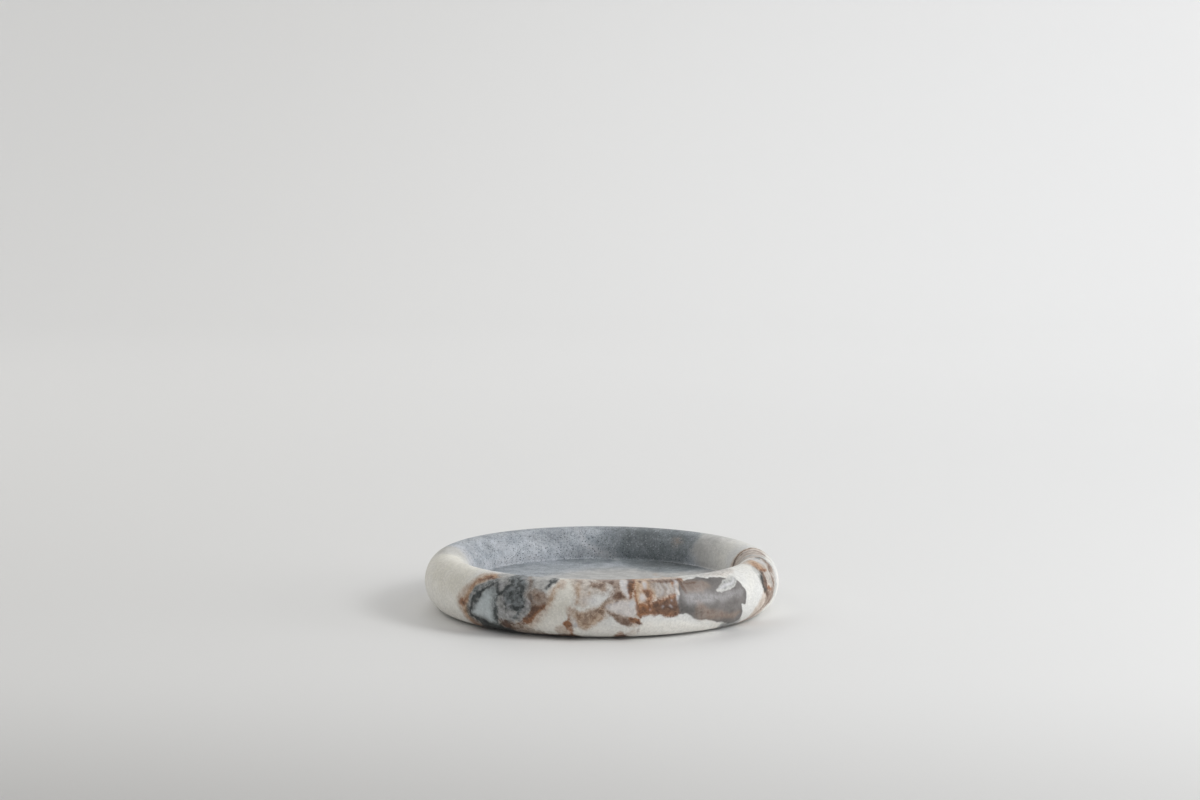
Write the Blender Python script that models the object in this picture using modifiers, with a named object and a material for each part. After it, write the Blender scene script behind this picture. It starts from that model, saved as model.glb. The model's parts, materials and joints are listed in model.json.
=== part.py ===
"""Round stone tray: one turned block of marble that stands on four thin rubber pads.

Metres, +Z up. The origin is on the table, under the middle of the tray. The tray
is round, so only the pads' names say which side is the front: it faces -Y.
"""

import math

import bmesh
import bpy

# The turned stone
TRAY_DIAMETER = 0.200
STONE_HEIGHT = 0.031
RIM_WIDTH = 0.0254
FLOOR_THICKNESS = 0.0137
FLOOR_FILLET = 0.0013

# The pads under it
PAD_DIAMETER = 0.014
PAD_THICKNESS = 0.0007
PAD_EDGE_ROUNDING = 0.00015
PAD_MARGIN = 0.009  # from a pad's edge to the edge of the flat underside
GLUE_GAP = 0.0003  # the glue film between a pad and the stone

# How finely the round shapes are divided
TURNING_STEPS = 96
RIM_STEPS = 27
FILLET_STEPS = 4
PAD_STEPS = 32
PAD_EDGE_STEPS = 1
WELD_DISTANCE = 0.00001
SHARP_OVER_DEGREES = 35

# Where the named sizes put the rest
UNDERSIDE_HEIGHT = PAD_THICKNESS + GLUE_GAP
RIM_HALF_WIDTH = RIM_WIDTH / 2
RIM_HALF_HEIGHT = STONE_HEIGHT / 2
RIM_MIDDLE_RADIUS = TRAY_DIAMETER / 2 - RIM_HALF_WIDTH
RIM_MIDDLE_HEIGHT = UNDERSIDE_HEIGHT + RIM_HALF_HEIGHT
FLOOR_HEIGHT = UNDERSIDE_HEIGHT + FLOOR_THICKNESS
RECESS_DEPTH = STONE_HEIGHT - FLOOR_THICKNESS
PAD_CIRCLE_RADIUS = RIM_MIDDLE_RADIUS - PAD_MARGIN - PAD_DIAMETER / 2

# Compass places of the pads, in degrees from +X, seen from above
PAD_ANGLES = {
    "pad_back_right": 45,
    "pad_back_left": 135,
    "pad_front_left": 225,
    "pad_front_right": 315,
}


def clear_scene():
    """Remove the objects that the scene holds."""
    for old in list(bpy.data.objects):
        bpy.data.objects.remove(old, do_unlink=True)


def make_material(name, colour, roughness):
    """A plain Principled material."""
    material = bpy.data.materials.new(name)
    material.use_nodes = True
    shader = material.node_tree.nodes["Principled BSDF"]
    shader.inputs["Base Color"].default_value = (*colour, 1)
    shader.inputs["Roughness"].default_value = roughness
    shader.inputs["Metallic"].default_value = 0
    return material


def add_object(name, mesh, material, collection, parent):
    """Put a mesh in the scene as a named piece of the tray."""
    mesh.materials.clear()
    mesh.materials.append(material)
    piece = bpy.data.objects.new(name, mesh)
    collection.objects.link(piece)
    piece.parent = parent
    return piece


def rim_point(angle):
    """Radius and height on the rim's oval: 0 is its inner side, pi / 2 its crown, pi its outer side."""
    return (
        RIM_MIDDLE_RADIUS - RIM_HALF_WIDTH * math.cos(angle),
        RIM_MIDDLE_HEIGHT + RIM_HALF_HEIGHT * math.sin(angle),
    )


def tray_profile():
    """Half of the tray's section, from the middle of its floor over the rim to the middle of its underside."""
    # The oval starts at its own half height, or higher where the floor is thicker than that
    wall_foot = FLOOR_HEIGHT + FLOOR_FILLET
    start_share = max(0, (wall_foot - RIM_MIDDLE_HEIGHT) / RIM_HALF_HEIGHT)
    start_angle = math.asin(min(1, start_share))
    wall_radius = rim_point(start_angle)[0]

    points = [(0, FLOOR_HEIGHT)]
    for step in range(FILLET_STEPS):
        turn = math.pi / 2 * step / FILLET_STEPS
        points.append(
            (
                wall_radius - FLOOR_FILLET + FLOOR_FILLET * math.sin(turn),
                wall_foot - FLOOR_FILLET * math.cos(turn),
            )
        )
    if start_share == 0:
        points.append((wall_radius, wall_foot))

    end_angle = 3 * math.pi / 2
    for step in range(RIM_STEPS + 1):
        share = step / RIM_STEPS
        points.append(rim_point(start_angle + (end_angle - start_angle) * share))
    points.append((0, UNDERSIDE_HEIGHT))
    return points


def make_stone(material, collection, parent):
    """Turn the profile about the upright axis, as the block is turned on a lathe."""
    points = tray_profile()
    mesh = bpy.data.meshes.new("stone_tray")
    mesh.from_pydata(
        [(radius, 0, height) for radius, height in points],
        [(first, first + 1) for first in range(len(points) - 1)],
        [],
    )
    stone = add_object("stone_tray", mesh, material, collection, parent)
    turning = stone.modifiers.new("Turning", "SCREW")
    turning.axis = "Z"
    turning.angle = math.tau
    turning.steps = TURNING_STEPS
    turning.render_steps = TURNING_STEPS
    turning.use_merge_vertices = True
    turning.merge_threshold = WELD_DISTANCE
    turning.use_smooth_shade = True


def make_pad_mesh():
    """One disc, lying with its underside at height zero."""
    shape = bmesh.new()
    bmesh.ops.create_cone(
        shape,
        cap_ends=True,
        segments=PAD_STEPS,
        radius1=PAD_DIAMETER / 2,
        radius2=PAD_DIAMETER / 2,
        depth=PAD_THICKNESS,
    )
    bmesh.ops.translate(shape, vec=(0, 0, PAD_THICKNESS / 2), verts=shape.verts)
    mesh = bpy.data.meshes.new("pad")
    shape.to_mesh(mesh)
    shape.free()
    mesh.shade_smooth()
    mesh.set_sharp_from_angle(angle=math.radians(SHARP_OVER_DEGREES))
    return mesh


def make_pads(material, collection, parent):
    """Four equal discs on one circle, each with its edges rounded."""
    mesh = make_pad_mesh()
    pads = []
    for name, degrees in PAD_ANGLES.items():
        angle = math.radians(degrees)
        pad = add_object(name, mesh, material, collection, parent)
        pad.location = (
            PAD_CIRCLE_RADIUS * math.cos(angle),
            PAD_CIRCLE_RADIUS * math.sin(angle),
            0,
        )
        rounding = pad.modifiers.new("Rounded edges", "BEVEL")
        rounding.width = PAD_EDGE_ROUNDING
        rounding.segments = PAD_EDGE_STEPS
        rounding.limit_method = "ANGLE"
        pads.append(pad)
    return pads


def main():
    clear_scene()
    collection = bpy.data.collections.new("stone_tray")
    bpy.context.scene.collection.children.link(collection)
    table_point = bpy.data.objects.new("table_point", None)
    collection.objects.link(table_point)

    marble = make_material("marble", (0.68, 0.66, 0.62), 0.38)
    pad_rubber = make_material("pad_rubber", (0.045, 0.045, 0.05), 0.75)
    make_stone(marble, collection, table_point)
    pads = make_pads(pad_rubber, collection, table_point)

    print(f"stone: {TRAY_DIAMETER * 1000:.1f} mm across, {STONE_HEIGHT * 1000:.1f} mm thick")
    print(f"recess: {RECESS_DEPTH * 1000:.1f} mm deep")
    print(f"pads: {len(pads)}, on a circle of {PAD_CIRCLE_RADIUS * 1000:.1f} mm radius")


main()
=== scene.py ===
# %% [markdown]
# # A round marble tray
#
# The tray is one block of veined marble, turned like a bowl on a lathe and honed to a soft
# sheen. It stands on four thin rubber pads. This notebook loads the plain engineering model
# as a fixed frame and then gives it its looks: a finer turned surface, the figure of the
# stone, the pads, a pale table, soft window-like light and a camera.

# %% Load the frame
import json
import math

import bmesh
import bpy
import numpy as np
from mathutils import Matrix, Vector
from mathutils import noise as solid_noise


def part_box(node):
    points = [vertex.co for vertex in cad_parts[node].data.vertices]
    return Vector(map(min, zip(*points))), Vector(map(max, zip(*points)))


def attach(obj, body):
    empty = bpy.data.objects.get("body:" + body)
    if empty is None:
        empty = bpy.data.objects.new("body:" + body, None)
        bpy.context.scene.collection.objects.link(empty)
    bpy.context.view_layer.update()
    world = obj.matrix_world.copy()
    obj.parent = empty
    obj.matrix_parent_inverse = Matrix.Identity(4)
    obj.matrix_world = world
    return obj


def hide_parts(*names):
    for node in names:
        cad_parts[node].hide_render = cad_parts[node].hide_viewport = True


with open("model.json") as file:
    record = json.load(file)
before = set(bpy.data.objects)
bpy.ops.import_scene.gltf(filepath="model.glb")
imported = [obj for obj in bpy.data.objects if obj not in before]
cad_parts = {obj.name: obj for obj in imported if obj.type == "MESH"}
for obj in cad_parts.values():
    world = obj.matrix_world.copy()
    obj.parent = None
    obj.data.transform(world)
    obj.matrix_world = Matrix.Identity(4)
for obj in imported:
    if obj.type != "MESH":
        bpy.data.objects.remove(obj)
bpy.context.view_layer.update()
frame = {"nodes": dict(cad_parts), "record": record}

print("frame nodes:", sorted(frame["nodes"]))

# %% [markdown]
# ## The section of the stone
#
# A turned piece is known once its section is known: the line that a saw would show if it cut
# the tray through its middle. Here that line starts at the middle of the sunk floor, turns up
# through a tight fillet, runs round the oval rim and ends at the middle of the flat underside.
# The outside sizes are read from the frame, so the surface can't drift away from the model.

# %% Sizes of the stone
MM = 0.001
RIM_WIDTH = 25.4 * MM
FLOOR_FILLET = 1.3 * MM

stone_low, stone_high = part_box("stone_tray")
record_mounts = {mount["name"]: mount for mount in frame["record"]["mounts"]}
floor_height = record_mounts["tray_floor"]["pos_m"][2]
underside_height = stone_low.z
rim_half_width = RIM_WIDTH / 2
rim_half_height = (stone_high.z - stone_low.z) / 2
rim_middle_height = (stone_high.z + stone_low.z) / 2
rim_middle_radius = stone_high.x - rim_half_width
print(f"floor {floor_height / MM:.1f} mm, rim middle at radius {rim_middle_radius / MM:.1f} mm")

# %% [markdown]
# The rim is an oval, and equal steps of its angle would give unequal steps along the stone.
# So the oval is first walked in tiny steps that are added up. The sum is a ruler along the
# surface: `up` is zero at the outermost line of the rim, grows over the crown towards the
# floor, and is negative below. The same ruler later places the figure of the stone.

# %% A ruler along the section
RULER_STEPS = 4000

ruler_angle = np.linspace(0, 1.5 * math.pi, RULER_STEPS)
ruler_radius = rim_middle_radius - rim_half_width * np.cos(ruler_angle)
ruler_height = rim_middle_height + rim_half_height * np.sin(ruler_angle)
ruler_walk = np.hypot(np.diff(ruler_radius), np.diff(ruler_height))
ruler_up = -np.concatenate([[0], np.cumsum(ruler_walk)]) / MM
ruler_up -= np.interp(math.pi, ruler_angle, ruler_up)


def rim_point(up):
    """Radius and height of the oval at so many millimetres up from its outermost line."""
    angle = np.interp(-up, -ruler_up, ruler_angle)
    radius = rim_middle_radius - rim_half_width * math.cos(angle)
    return radius, rim_middle_height + rim_half_height * math.sin(angle)


INNER_WALL_UP = ruler_up[0]
UNDERSIDE_UP = ruler_up[-1]
print(f"the oval runs from {UNDERSIDE_UP:.1f} to {INNER_WALL_UP:.1f} mm on the ruler")

# %% [markdown]
# The rows of the mesh follow the section. They lie close together where the figure is fine
# and in plain sight, and further apart inside the rim, on the floor and underneath.

# %% Rows of the section, from the middle of the floor to the middle of the underside
FINE_ROW = 0.6
INSIDE_ROW = 0.95
FINE_ROWS_UP_TO = 25
FILLET_STEPS = 5
FLOOR_RINGS = 44
FLOOR_CROWDING = 0.8  # under 1, the rings lie closer together near the fillet
UNDERSIDE_RINGS = 8

fillet_middle_radius = rim_middle_radius - rim_half_width - FLOOR_FILLET
fillet_middle_height = floor_height + FLOOR_FILLET
fillet_length = FLOOR_FILLET * math.pi / 2 / MM
floor_edge_up = INNER_WALL_UP + (rim_middle_height - fillet_middle_height) / MM + fillet_length

rows = []
for share in np.linspace(0, 1, FLOOR_RINGS, endpoint=False) ** FLOOR_CROWDING:
    radius = fillet_middle_radius * share
    rows.append((radius, floor_height, floor_edge_up + (fillet_middle_radius - radius) / MM))
for turn in np.linspace(0, math.pi / 2, FILLET_STEPS + 1):
    rows.append(
        (
            fillet_middle_radius + FLOOR_FILLET * math.sin(turn),
            fillet_middle_height - FLOOR_FILLET * math.cos(turn),
            floor_edge_up - FLOOR_FILLET * turn / MM,
        )
    )
inside_steps = round((INNER_WALL_UP - FINE_ROWS_UP_TO) / INSIDE_ROW)
outside_steps = round((FINE_ROWS_UP_TO - UNDERSIDE_UP) / FINE_ROW)
for up in np.linspace(INNER_WALL_UP, FINE_ROWS_UP_TO, inside_steps, endpoint=False):
    rows.append((*rim_point(up), up))
for up in np.linspace(FINE_ROWS_UP_TO, UNDERSIDE_UP, outside_steps + 1):
    rows.append((*rim_point(up), up))
for share in np.linspace(1, 0, UNDERSIDE_RINGS + 1)[1:]:
    radius = rim_middle_radius * share
    rows.append((radius, underside_height, UNDERSIDE_UP - (rim_middle_radius - radius) / MM))
print(len(rows), "rows")

# %% [markdown]
# The columns go round the tray. `along` measures them in millimetres on the outermost circle,
# zero at the front and growing to the right, so that `along` and `up` together are a flat map
# of the rim, as if a strip of paper had been laid round it.

# %% Columns round the tray
FINE_COLUMN = 0.6
PLAIN_COLUMN = 1.8
FINE_FROM, FINE_TO = -95, 140
AROUND = 2 * math.pi * stone_high.x / MM

fine_count = round((FINE_TO - FINE_FROM) / FINE_COLUMN)
plain_count = round((AROUND - FINE_TO + FINE_FROM) / PLAIN_COLUMN)
columns = np.concatenate(
    [
        np.linspace(FINE_FROM, FINE_TO, fine_count, endpoint=False),
        np.linspace(FINE_TO, AROUND + FINE_FROM, plain_count, endpoint=False),
    ]
)
print(len(columns), "columns")

# %% [markdown]
# Turning the section is now a loop: every row but the first and the last becomes a ring of
# points, the first and the last are single points on the axis, and neighbours are joined by
# faces. A Screw modifier would do the same, but it knows only equal steps.

# %% Turn the section into the stone


def turned_mesh(name, section, places):
    """A closed mesh from section rows (radius, height, up) turned to all places along the rim."""
    angles = places / AROUND * 2 * math.pi
    points = [(0, 0, section[0][1])]
    faces = []
    count = len(places)
    for radius, height, _ in section[1:-1]:
        ring = zip(radius * np.sin(angles), -radius * np.cos(angles))
        points.extend((x, y, height) for x, y in ring)
    points.append((0, 0, section[-1][1]))
    last = len(points) - 1
    for column in range(count):
        following = (column + 1) % count
        faces.append((0, 1 + column, 1 + following))
        for ring in range(len(section) - 3):
            start = 1 + ring * count
            below = start + count
            faces.append((start + column, below + column, below + following, start + following))
        start = 1 + (len(section) - 3) * count
        faces.append((start + column, last, start + following))
    mesh = bpy.data.meshes.new(name)
    mesh.from_pydata(points, [], faces)
    mesh.shade_smooth()
    return mesh


stone_mesh = turned_mesh("turned_stone", rows, columns)
stone = bpy.data.objects.new("turned_stone", stone_mesh)
bpy.context.scene.collection.objects.link(stone)
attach(stone, "root")
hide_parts("stone_tray")
print(len(stone_mesh.polygons), "faces on the stone")

# %% [markdown]
# ## The figure of the stone
#
# Marble's figure is what minerals left in its cracks: a black ring round a pale lens, rust
# and brown veins, a smooth patch of grey-brown, and blue-grey stone in the recess. A picture
# pasted on would look flat from other sides, so the figure is drawn here as a map: each mark
# is an outline or a stroke in millimetres on the unrolled rim, and the mesh keeps one sheet
# for every mineral, with a value between 0 and 1 at each of its points. The material later
# frays the soft edges with noise in the solid, as real mineral edges are.

# %% Where every point of the mesh lies on the map
point_count = len(stone_mesh.vertices)
ring_along = np.tile(columns, len(rows) - 2)
ring_up = np.repeat([up for _, _, up in rows[1:-1]], len(columns))
along = np.concatenate([[0], ring_along, [0]])
up = np.concatenate([[rows[0][2]], ring_up, [rows[-1][2]]])
coordinates = np.empty(point_count * 3)
stone_mesh.vertices.foreach_get("co", coordinates)
solid_places = coordinates.reshape(-1, 3) / MM
print(point_count, "points on the map")

# %% [markdown]
# Cracks in rock are never smooth curves. Before anything is drawn, every place on the map is
# pushed about a little by noise, so that each line drawn afterwards wanders by that much. This
# noise starts from the clock unless it gets a seed, and the seed makes every run the same.

# %% Let the map wander
WANDER = ((6.0, 1.4), (2.1, 0.5))  # size of the wiggles and their reach, in mm
FLOOR_WANDER = 2  # the floor's wide clouds wander by so many times more
WANDER_SEED = 8

solid_noise.seed_set(WANDER_SEED)
seen_from_above = solid_places[:, :2].copy()
for feature_size, reach in WANDER:
    pushes = np.array([solid_noise.noise_vector(p / feature_size) for p in solid_places])
    along = along + reach * pushes[:, 0]
    up = up + reach * pushes[:, 1]
    seen_from_above += FLOOR_WANDER * reach * pushes[:, :2]
    print(f"wiggles of {feature_size} mm push by up to {reach * np.abs(pushes).max():.2f} mm")

# %% [markdown]
# To draw on the map, a pencil is needed. A few points are given and a smooth curve is
# led through them. How deep each point of the mesh then lies in the stroke or the outline
# decides how much of the mineral it gets. Curve objects could hold the lines as well, but
# numbers in millimetres are quicker to read against the stone and to move.

# %% Smooth lines through given points
STEPS_BETWEEN_POINTS = 5


def smooth_line(points, closed):
    """A curve that passes through all the points, as short straight pieces."""
    points = np.array(points, float)
    if closed:
        before, after, further = (np.roll(points, shift, 0) for shift in (1, -1, -2))
        spans = range(len(points))
    else:
        before = np.vstack([points[:1], points[:-1]])
        after = np.vstack([points[1:], points[-1:]])
        further = np.vstack([points[2:], points[-1:], points[-1:]])
        spans = range(len(points) - 1)
    line = []
    for span in spans:
        for part in np.arange(STEPS_BETWEEN_POINTS) / STEPS_BETWEEN_POINTS:
            bend = before[span] - points[span] + after[span] - points[span]
            far_bend = points[span] - after[span] + further[span] - after[span]
            straight = points[span] + (after[span] - points[span]) * part
            pull = part * (1 - part) / 2
            line.append(straight - pull * ((1 - part) * bend + part * far_bend))
    if not closed:
        line.append(points[-1])
    return np.array(line)


EXAMPLE_POINTS = [(0.0, 0.0), (2.0, 1.0), (4.0, 0.0)]
print("3 hand-placed points give a line of", len(smooth_line(EXAMPLE_POINTS, False)))

# %% How deep a point lies inside a stroke or an outline
FAR_OUTSIDE = -99.0
SHORTEST = 1e-9  # keeps a piece of no length from being divided by


def depth_in_stroke(line, widths, x, y):
    """Millimetres inside a stroke whose width changes along it as the widths say."""
    depth = np.full(len(x), FAR_OUTSIDE)
    shares = np.linspace(0, 1, len(line))
    half_widths = np.interp(shares, np.linspace(0, 1, len(widths)), np.array(widths) / 2)
    for start, end, near, far in zip(line[:-1], line[1:], half_widths[:-1], half_widths[1:]):
        step = end - start
        reach = (x - start[0]) * step[0] + (y - start[1]) * step[1]
        reach = np.clip(reach / max(step @ step, SHORTEST), 0, 1)
        gap = np.hypot(x - start[0] - reach * step[0], y - start[1] - reach * step[1])
        depth = np.maximum(depth, near + (far - near) * reach - gap)
    return depth


def depth_in_outline(line, x, y):
    """Millimetres inside a closed outline, negative outside it."""
    loop = np.vstack([line, line[:1]])
    edge_gap = -depth_in_stroke(loop, (0, 0), x, y)
    inside = np.zeros(len(x), bool)
    for start, end in zip(loop[:-1], loop[1:]):
        spans = (start[1] > y) != (end[1] > y)
        rise = end[1] - start[1]
        crossing = start[0] + (y - start[1]) * (end[0] - start[0]) / (rise if rise else 1)
        inside ^= spans & (x < crossing)
    return np.where(inside, edge_gap, -edge_gap)


example_line = np.array([(0.0, 0.0), (10.0, 0.0)])
example_x, example_y = np.array([5.0, 5.0]), np.array([0.0, 3.0])
example_depths = depth_in_stroke(example_line, (2.0, 2.0), example_x, example_y)
print("a stroke 2 mm wide, in its middle and 3 mm beside it:", example_depths)

# %% The sheets that the marks are drawn on
# Most sheets hold minerals. One holds painted light along the foot, and two also carry a painted
# highlight on the grey patch and painted shadow at the foot.
MINERALS = (
    "cream", "painted_bounce_light", "mist", "blue_grey", "deep_grey", "blush", "tan", "lens", "haze", "mottle", "slate",
    "taupe", "rust", "umber", "crystal_and_painted_sheen", "soot_and_painted_shadow", "black",
)
figure = {mineral: np.zeros(point_count) for mineral in MINERALS}
RUNS_UNDER = 8  # marks of the rim may run so many mm under the foot
RUNS_ONTO_FLOOR = 4
FLOOR_SKIN = 0.4  # what lies higher above the floor than this belongs to the rim
on_rim = (up > UNDERSIDE_UP - RUNS_UNDER) & (up < floor_edge_up + RUNS_ONTO_FLOOR)
on_floor = (up > INNER_WALL_UP) & (solid_places[:, 2] < floor_height / MM + FLOOR_SKIN)
print(np.count_nonzero(on_rim), "points on the rim,", np.count_nonzero(on_floor), "on the floor")

# %% Tools that draw on the rim
EDGES_AROUND = 3  # how many edge widths round a mark are looked at
OUTLINE_BULGE = 3  # how far a rounded outline may pass its points


def press(mineral, where, depth, edge, strength):
    """Print a mark on a sheet. Its edge fades out over twice the given millimetres."""
    share = np.clip(0.5 + 0.5 * depth / edge, 0, 1)
    mark = strength * share * share * (3 - 2 * share)
    figure[mineral][where] = np.maximum(figure[mineral][where], mark)


def near(points, reach):
    """Mesh points of the rim within reach of some marks, and their places on the map."""
    points = np.array(points, float)
    middle = (points[:, 0].min() + points[:, 0].max()) / 2
    counted = middle + (along - middle + AROUND / 2) % AROUND - AROUND / 2
    close = on_rim & (np.abs(counted - middle) < np.ptp(points[:, 0]) / 2 + reach)
    close &= (up > points[:, 1].min() - reach) & (up < points[:, 1].max() + reach)
    where = np.nonzero(close)[0]
    return where, counted[where], up[where]


def patch(mineral, points, edge=1.0, strength=1.0):
    """A closed, rounded outline filled with a mineral."""
    where, x, y = near(points, EDGES_AROUND * edge + OUTLINE_BULGE)
    press(mineral, where, depth_in_outline(smooth_line(points, True), x, y), edge, strength)


def streak(mineral, points, *widths, edge=0.7, strength=1.0):
    """A stroke along the points, as wide from its start to its end as the widths say."""
    where, x, y = near(points, EDGES_AROUND * edge + max(widths))
    line = smooth_line(points, False)
    press(mineral, where, depth_in_stroke(line, widths, x, y), edge, strength)


def spots(mineral, *ovals, edge=0.7, strength=1.0):
    """Oval spots, each (along, up, width, height)."""
    for middle_along, middle_up, wide, high in ovals:
        where, x, y = near([(middle_along, middle_up)], max(wide, high) + EDGES_AROUND * edge)
        size = np.hypot((x - middle_along) / wide, (y - middle_up) / high) * 2
        press(mineral, where, (1 - size) * min(wide, high) / 2, edge, strength)


# %% Tools that draw on the floor, and a count of what is drawn


def floor_cloud(mineral, points, edge, strength):
    """A cloud on the floor, its outline seen from above in millimetres from the middle."""
    where = np.nonzero(on_floor)[0]
    x, y = seen_from_above[where].T
    press(mineral, where, depth_in_outline(smooth_line(points, True), x, y), edge, strength)


def floor_vein(mineral, points, *widths, edge, strength):
    """A stroke on the floor, seen from above in millimetres from the middle."""
    where = np.nonzero(on_floor)[0]
    x, y = seen_from_above[where].T
    depth = depth_in_stroke(smooth_line(points, False), widths, x, y)
    press(mineral, where, depth, edge, strength)


def covered(*minerals):
    """Print how many points of the mesh carry each of these minerals so far."""
    print("points covered:", {mineral: np.count_nonzero(figure[mineral]) for mineral in minerals})


# %% [markdown]
# ### Left: the ringed lens
#
# The mark that catches the eye first is a pale lens with a broken black ring, a rust-stained
# border round it, and a grey, mottled neighbour full of black specks. Each of these is built
# as a painter would: a wide, weak wash first, then the body, then its darkest cores.

# %% Paint the light that the table throws up along the foot
# Painted light: the lower outside of the rim is painted paler where the table throws light up onto it.
patch("painted_bounce_light", [(-140, 3), (-110, 3), (-80, 0), (-50, -4), (-20, -3), (20, -6), (64, -10), (90, -14),
               (90, -30), (-140, -30)], edge=8, strength=0.62)
patch("painted_bounce_light", [(20, -22), (22, -6), (34, -5.5), (50, -7), (64, -12), (76, -15), (74, -24)],
      edge=4.0, strength=1.0)
# Painted light on the lower right as well, where light from the front right reaches the foot.
patch("painted_bounce_light", [(124, -22), (126, -8), (134, -6), (142, 2), (152, 6), (160, -4), (156, -22)], edge=5.0,
      strength=0.8)
covered("painted_bounce_light")

# %% Draw the stained border of the ringed lens
BORDER = [
    (-65, 17.0), (-70.5, 16.0), (-75.5, 13.0), (-79.4, 8.2), (-82.4, 3.4), (-85.0, -1.2),
    (-84.8, -6.0), (-84.0, -11.0), (-81.5, -16.0), (-76, -21),
]
GREY_SKIRT = [
    (-82.6, -3), (-80.6, 3), (-77.6, 8.6), (-73, 12.8), (-67, 15.6), (-62, 18.6), (-54, 20),
    (-55, 12), (-60, 6), (-64, 11), (-68, 9), (-72, 4.5), (-76, 0), (-80, -4),
]
patch("cream", [(-178, 26), (-150, 33), (-120, 30), (-92, 24), (-84, 10), (-88, -10), (-92, -24),
                (-178, -24)], edge=8, strength=0.9)
patch("blush", [(-58, 18), (-70, 20.5), (-78, 18.5), (-84, 10), (-91.5, 1.5), (-91, -5), (-88, -12),
                (-85, -22), (-74, -22), (-80, -9), (-80, -2), (-75, 7), (-66, 13)],
      edge=2.2, strength=0.75)
streak("tan", BORDER, 3.8, 5.6, 4.4, 4.0, 5.0, 4.2, 5.4, 7.0, edge=1.8, strength=0.85)
patch("haze", GREY_SKIRT, edge=1.4, strength=0.9)
spots("rust", (-87.0, -1.2, 6.0, 5.0), (-71.2, 15.8, 7.4, 3.4), (-76.6, 13.0, 3.2, 2.6), edge=1.5,
      strength=0.8)
streak("rust", [(-72.0, 15.2), (-78.6, 10.2), (-82.0, 4.4), (-84.6, -1.0)], 2.0, 2.0, 1.6, 2.4,
       edge=1.6, strength=0.6)
streak("rust", [(-84.6, -6.0), (-83.8, -12.5), (-80.0, -18.0)], 2.2, 3.0, 4.0, edge=1.7,
       strength=0.6)
spots("umber", (-86.4, -1.8, 2.2, 2.4), (-70.6, 15.4, 5.0, 2.4), (-73.8, 14.2, 3.0, 2.2), edge=1.2,
      strength=0.7)
spots("umber", (-76.8, 11.2, 4.0, 3.4), edge=1.6, strength=0.3)
covered("cream", "tan", "rust")

# %% Outlines of the lens and its black ring
LENS = [
    (-80.8, -4.8), (-79.2, -1.8), (-75.4, 1.5), (-71.3, 6.5), (-67.5, 10.3), (-63.8, 12.8),
    (-62.1, 9.8), (-60.4, 6.1), (-60.0, 2.3), (-60.4, -1.8), (-61.3, -5.2), (-61.7, -9.3),
    (-62.6, -13.7), (-68.3, -13.4), (-74.2, -10.8), (-78.3, -8.4),
]
RING = [
    (-80.7, -5.7), (-79.7, -2.2), (-77.9, 0.6), (-74.9, 3.7), (-72.1, 6.6), (-68.9, 9.5),
    (-66.0, 12.0), (-63.8, 13.2), (-62.6, 11.6), (-61.6, 8.4), (-60.0, 7.0), (-57.6, 8.2),
    (-56.0, 10.4), (-53.8, 12.3),
]
RING_LEFT = RING[:8]
RING_OUTSIDE = [(-80.8, 1.2), (-77.6, 5.4), (-74.0, 9.0), (-70.4, 12.0), (-66.0, 14.6)]
RIGHT_LINE = [(-60.8, 7.0), (-60.9, 2.0), (-61.3, -2.0), (-62.2, -5.5), (-62.2, -9.8)]
FOOT_LINE = [(-80.6, -7.2), (-77.0, -9.8), (-72.8, -11.6), (-67.6, -13.2), (-61.6, -14.0)]
print("the lens has", len(LENS), "hand-placed points, its ring", len(RING))

# %% Fill the lens and shade its rim
patch("lens", LENS, edge=1.0)
patch("lens", [(-62.6, 13.6), (-61.0, 9.0), (-59.6, 7.8), (-57.2, 9.2), (-56.6, 13.0), (-59, 15)],
      edge=1.3, strength=0.75)
streak("mottle", RING_OUTSIDE, 2.4, 3.8, 4.0, 4.0, 3.0, edge=2.2, strength=0.7)
streak("soot_and_painted_shadow", RING_LEFT, 2.4, 6.4, 6.0, 4.4, 2.6, edge=2.8, strength=0.34)
streak("soot_and_painted_shadow", RING_LEFT, 1.4, 2.6, 2.0, 1.2, edge=1.2, strength=0.5)
streak("soot_and_painted_shadow", [(-76.0, 7.0), (-73.0, 10.0), (-69.6, 12.4)], 3.0, 4.2, 3.0, edge=2.0, strength=0.42)
spots("soot_and_painted_shadow", (-77.0, -7.4, 3.8, 2.6), (-66.0, -9.4, 8.0, 3.4), edge=2.0, strength=0.36)
patch("soot_and_painted_shadow", [(-78, 1), (-75, 6), (-71, 10.5), (-66, 14), (-60, 14), (-58, 8), (-61, 4), (-66, 6),
               (-70, 4), (-74, 0)], edge=2.8, strength=0.5)
patch("soot_and_painted_shadow", [(-84, -2), (-79.4, -2), (-76, -7), (-70, -9.4), (-61, -8.4), (-59, -16), (-72, -15),
               (-83, -10)], edge=2.6, strength=0.68)
streak("soot_and_painted_shadow", [(-63.8, 11.0), (-62.4, 5.0), (-62.4, -1.0), (-63.0, -8.0)], 3.2, 4.2, 4.4, 4.2,
       edge=2.6, strength=0.6)
streak("soot_and_painted_shadow", FOOT_LINE, 2.4, 5.6, 7.6, 8.0, 6.4, edge=3.2, strength=0.84)
covered("lens", "mottle", "soot_and_painted_shadow")

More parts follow.
